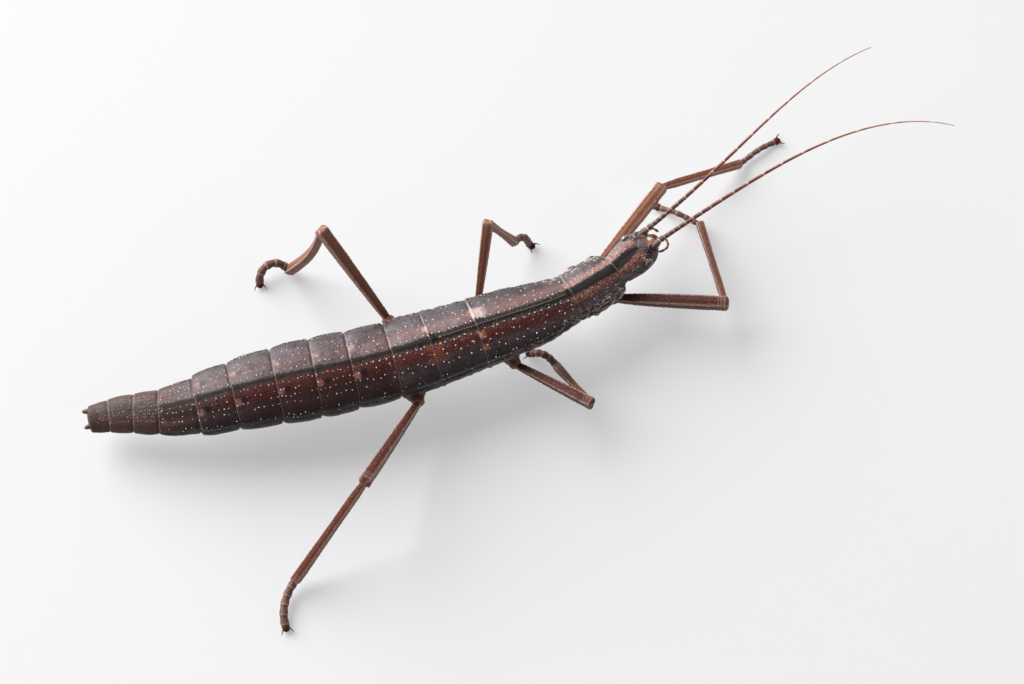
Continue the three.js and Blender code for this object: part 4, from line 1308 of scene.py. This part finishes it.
class MakeEyes(bpy.types.Operator):
    """The two eyes, set in their sockets"""

    bl_idname = "insect.eyes"
    bl_label = "Eyes"

    def execute(self, context):
        finish = eye_finish(context.scene.insect_colours)
        turns = circle(40)[:, None]
        bends = np.radians(np.linspace(-86, 86, 25))[:, None, None]
        for name, side in SIDES.items():
            upward = np.array([0, 0, side])
            ring = np.cos(turns) * pointing(HEAD.heading) * 1.02 + np.sin(turns) * upward
            ball = np.cos(bends) * ring + np.sin(bends) * pointing(HEAD.heading + side * 90)
            shell = Shell()
            shell.loft(on_head(EYE.forward, side * EYE.out, EYE.up) + EYE.radius * ball, 0,
                       along=np.degrees(bends[:, 0]))
            shell.make(f"eye_ball_{name}", [finish], (f"eye_{name}",))
        return {"FINISHED"}


class MakeMouth(bpy.types.Operator):
    """The lip, the jaws and the palps"""

    bl_idname = "insect.mouth"
    bl_label = "Mouth"

    def execute(self, context):
        finish = jaw_finish(context.scene.insect_colours)
        turns = circle(32)
        shell = Shell()
        bends = np.append(0.0, np.linspace(0, math.pi / 2, 16))[:, None]
        t = np.sin(bends)
        t[0] = -0.45
        for out, up, wide, tall, length, turn in MOUTH_PLATES:
            start = on_head(MOUTH.forward, out, MOUTH.up + up)
            way = pointing(HEAD.heading + turn, MOUTH.dip)
            reach = np.cos(bends) ** 0.7 * np.hypot(wide * np.cos(turns), tall * np.sin(turns)) + 0.02
            shell.loft(rings_across(start + t * length * way, way, turns, reach), 0, along=t, keel=0.5)
        shell.make("jaws", [finish], ("mouthparts",))
        for name, side in SIDES.items():
            t = np.linspace(0, 1, 9)
            out = PALP.out + PALP.bow * np.sin(math.pi * t) - PALP.close * t**2
            path = flowing(on_head(PALP.forward + PALP.reach * np.sin(1.4 * t), side * out,
                                   PALP.up - PALP.dip * t**2), 7)
            t = np.linspace(0, 1, len(path))[:, None]
            joint = (t * PALP.joints) % 1
            joint[-1] = 0.9
            reach = PALP.radius * (0.62 + 0.3 * step_up(joint, 0.05, 0.6) - 0.15 * step_up(joint, 0.9, 1))
            reach = reach * np.sqrt(np.clip(1.02 - step_up(t, 0.9, 1.0) ** 2, 0.02, 1))
            shell = Shell()
            shell.loft(rings_across(path, headed(path), turns, reach), 0, along=t, keel=joint)
            shell.make(f"palp_arm_{name}", [finish], (f"palp_{name}",))
        return {"FINISHED"}


class MakeTail(bpy.types.Operator):
    """The cerci and the plate under the end of the body"""

    bl_idname = "insect.tail"
    bl_label = "Tail"

    def execute(self, context):
        finish = tail_finish(context.scene.insect_colours)
        turns = circle(28)
        for name, side in SIDES.items():
            root = on_body(CERCUS.reach, side * CERCUS.out, CERCUS.up)
            way = pointing(TRUNK[0].heading + 180 - side * CERCUS.turn, -CERCUS.drop)
            t = np.linspace(-0.2, 1, 22)[:, None]
            shown = np.clip(t, 0, 1)
            reach = CERCUS.radius * (1 - 0.25 * shown) * np.sqrt(np.clip(1.01 - shown**5, 0.01, 1))
            shell = Shell()
            shell.loft(rings_across(root + t * CERCUS.length * way, way, turns, reach), 0,
                       keel=shown, along=t)
            shell.make(f"cercus_tip_{name}", [finish], (f"cercus_{name}",))
        t = np.linspace(0, 1, 60)[:, None]
        blunt = (1 - np.clip(t / 0.12, 0, 1)) ** 2.4
        half = rounded(PLATE.half, t) * np.sqrt(np.clip(1 - blunt, 0.003, 1))
        side, rise = np.cos(turns), np.sin(turns)
        ridge = 1 + 0.12 * bell(turns - 1.5 * math.pi, 0.16)
        tall = np.where(rise > 0, 0.4, PLATE.depth * ridge) * half / half.max()
        points = on_body(PLATE.reach + t * PLATE.length, signed_power(side, SQUARENESS) * half,
                         signed_power(rise, SQUARENESS) * tall - PLATE.drop * (1 + 0.12 * t))
        shell = Shell()
        shell.loft(points, 0, along=t)
        shell.make("plate_under_tail", [finish], ("genital_plate",))
        return {"FINISHED"}


class MakeClaws(bpy.types.Operator):
    """The hooked claws of each foot and the round pad between them"""

    bl_idname = "insect.claws"
    bl_label = "Claws"

    def execute(self, context):
        finish = claw_finish(context.scene.insect_colours)
        turns = circle(16)
        for hold in STANCE:
            shell = Shell()

            def on_floor(path, ways, reach, along):
                rings = rings_across(path, ways, turns, reach)
                rings[..., 2] = np.maximum(rings[..., 2], 0.0)
                shell.loft(rings, 0, along=along)

            heading = hold.foot + hold.bend
            way = pointing(heading)
            root = foot_line(hold)[-1] + way * 0.5 * GAP
            t = np.append(-0.1, np.sin(np.linspace(0, math.pi / 2, 12)))[:, None]
            shown = np.clip(t, 0, 1)
            reach = PAD.radius * np.sqrt(np.clip(1 - 0.85 * shown**2.2, 0.02, 1))
            on_floor(root + t * PAD.length * way, way, reach * (1 + 0.12 * np.cos(2 * turns)), 0.3 * shown)
            t = np.linspace(0, 1, 18)[:, None]
            rise = np.array([0, 0, 1]) * (CLAW.arch * np.sin(0.8 * math.pi * t) - CLAW.dip * t)
            for side in (1, -1):
                out = pointing(heading + side * CLAW.spread * (1 - 0.25 * t[:, 0]))
                path = root + out * (CLAW.start + CLAW.length * t) + rise
                on_floor(path, headed(path), lerp(CLAW.radius * 0.7, 0.03, t**0.8), t)
            leg = f"{hold.leg}_{hold.side}"
            shell.make(f"claw_pair_{leg}", [finish], (f"claws_{leg}",))
        return {"FINISHED"}


# ------------------------------------------------------------------ the stage

# The lamps: name, place in metres, size, and power as a share of the key light's.
LAMPS = (("key", (-0.55, 0.9, 0.62), 1.3, 1.0), ("fill", (0.7, -0.7, 0.5), 0.8, 0.03))
FLOOR_REACH = 1.5
LOOK_AT_HEIGHT = 0.005


def facing(point, target):
    """The rotation that turns a light at a point towards a target."""
    return (Vector(target) - Vector(point)).to_track_quat("-Z", "Y").to_euler()


class MakeStage(bpy.types.Operator):
    """The pale floor, the soft lights and the camera"""

    bl_idname = "insect.stage"
    bl_label = "Stage"

    def execute(self, context):
        scene, stage = context.scene, context.scene.insect_stage
        mesh = bpy.data.meshes.new("floor")
        corners = [(x * FLOOR_REACH, y * FLOOR_REACH, 0) for x, y in ((-1, -1), (1, -1), (1, 1), (-1, 1))]
        mesh.from_pydata(corners, [], [(0, 1, 2, 3)])
        floor = bpy.data.objects.new("floor", mesh)
        scene.collection.objects.link(floor)
        paper = Finish("floor paper")
        tone = paper.mix(paper.noise(60, 3) * 0.5, stage.floor, tuple(0.97 * v for v in stage.floor))
        paper.start(stage.glow, tone, (0.0, 0.0, 0.0))
        mesh.materials.append(paper.wear(roughness=0.55, specular_ior_level=0.3, emission_color=tone,
                                         emission_strength=stage.glow * 0.95))
        floor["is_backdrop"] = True

        middle = Vector((*(SHIFT[:2] * MM), LOOK_AT_HEIGHT))
        for name, place, size, share in LAMPS:
            light = bpy.data.lights.new(name, "AREA")
            light.shape, light.size, light.energy = "DISK", size, share * stage.key
            lamp = bpy.data.objects.new(name, light)
            lamp.location, lamp.rotation_euler = place, facing(place, middle)
            scene.collection.objects.link(lamp)

        # the light all round is weaker overhead and stronger on her left
        scene.world = bpy.data.worlds.new("room")
        room = Nodes(scene.world)
        around = room.node("ShaderNodeTexCoord", {}, {}, "Generated")
        leftward, height = (room.node("ShaderNodeSeparateXYZ", {}, {0: around}, axis) for axis in "YZ")
        overhead = height.math("SMOOTH_MIN", height.math("SMOOTH_MAX", height, 0.2, 0.1), 0.85, 0.1)
        strength = stage.sky * (1.2 - 1.15 * overhead) * (1 + 0.65 * leftward)
        room.attach(room.tree.nodes["Background"], {"Strength": strength, "Color": (1.0, 1.0, 1.0)})
        scene.view_settings.view_transform = "Standard"

        across = Vector((math.sin(stage.swing), math.cos(stage.swing), 0))
        ahead = across * math.sin(stage.tilt) - Vector((0, 0, math.cos(stage.tilt)))
        above = across * math.cos(stage.tilt) + Vector((0, 0, math.sin(stage.tilt)))
        lens = bpy.data.cameras.new("camera")
        lens.sensor_width = 36.0
        lens.lens = lens.sensor_width * stage.distance / stage.breadth
        lens.clip_start = 0.01
        camera = bpy.data.objects.new("camera", lens)
        turn = Matrix((ahead.cross(above), above, -ahead)).transposed().to_4x4()
        camera.matrix_world = Matrix.Translation(middle - ahead * stage.distance) @ turn
        scene.collection.objects.link(camera)
        scene.camera = camera
        return {"FINISHED"}


class InsectPanel(bpy.types.Panel):
    """Lists the pieces of the insect and their settings"""

    bl_idname = "VIEW3D_PT_insect"
    bl_label = "Stick insect"
    bl_space_type = "VIEW_3D"
    bl_region_type = "UI"
    bl_category = "Insect"

    def draw(self, context):
        for operator in OPERATORS:
            self.layout.operator(operator.bl_idname)
        for name, group in GROUPS.items():
            for setting in group.__annotations__:
                self.layout.prop(getattr(context.scene, name), setting)


OPERATORS = (MakeSkin, MakeGranules, MakeFeelers, MakeEyes, MakeMouth, MakeTail, MakeClaws, MakeStage)
GROUPS = {"insect_sizes": InsectSizes, "insect_colours": InsectColours, "insect_stage": StageSettings}


def register():
    for kind in (*GROUPS.values(), *OPERATORS, InsectPanel):
        bpy.utils.register_class(kind)
    for name, group in GROUPS.items():
        setattr(bpy.types.Scene, name, bpy.props.PointerProperty(type=group))


def unregister():
    for name in GROUPS:
        delattr(bpy.types.Scene, name)
    for kind in (InsectPanel, *reversed(OPERATORS), *GROUPS.values()):
        bpy.utils.unregister_class(kind)


def corners():
    return [list(corner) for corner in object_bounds()]


def main():
    register()
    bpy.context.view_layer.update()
    for operator in OPERATORS:
        group, name = operator.bl_idname.split(".")
        getattr(getattr(bpy.ops, group), name)()


if __name__ == "__main__":
    main()
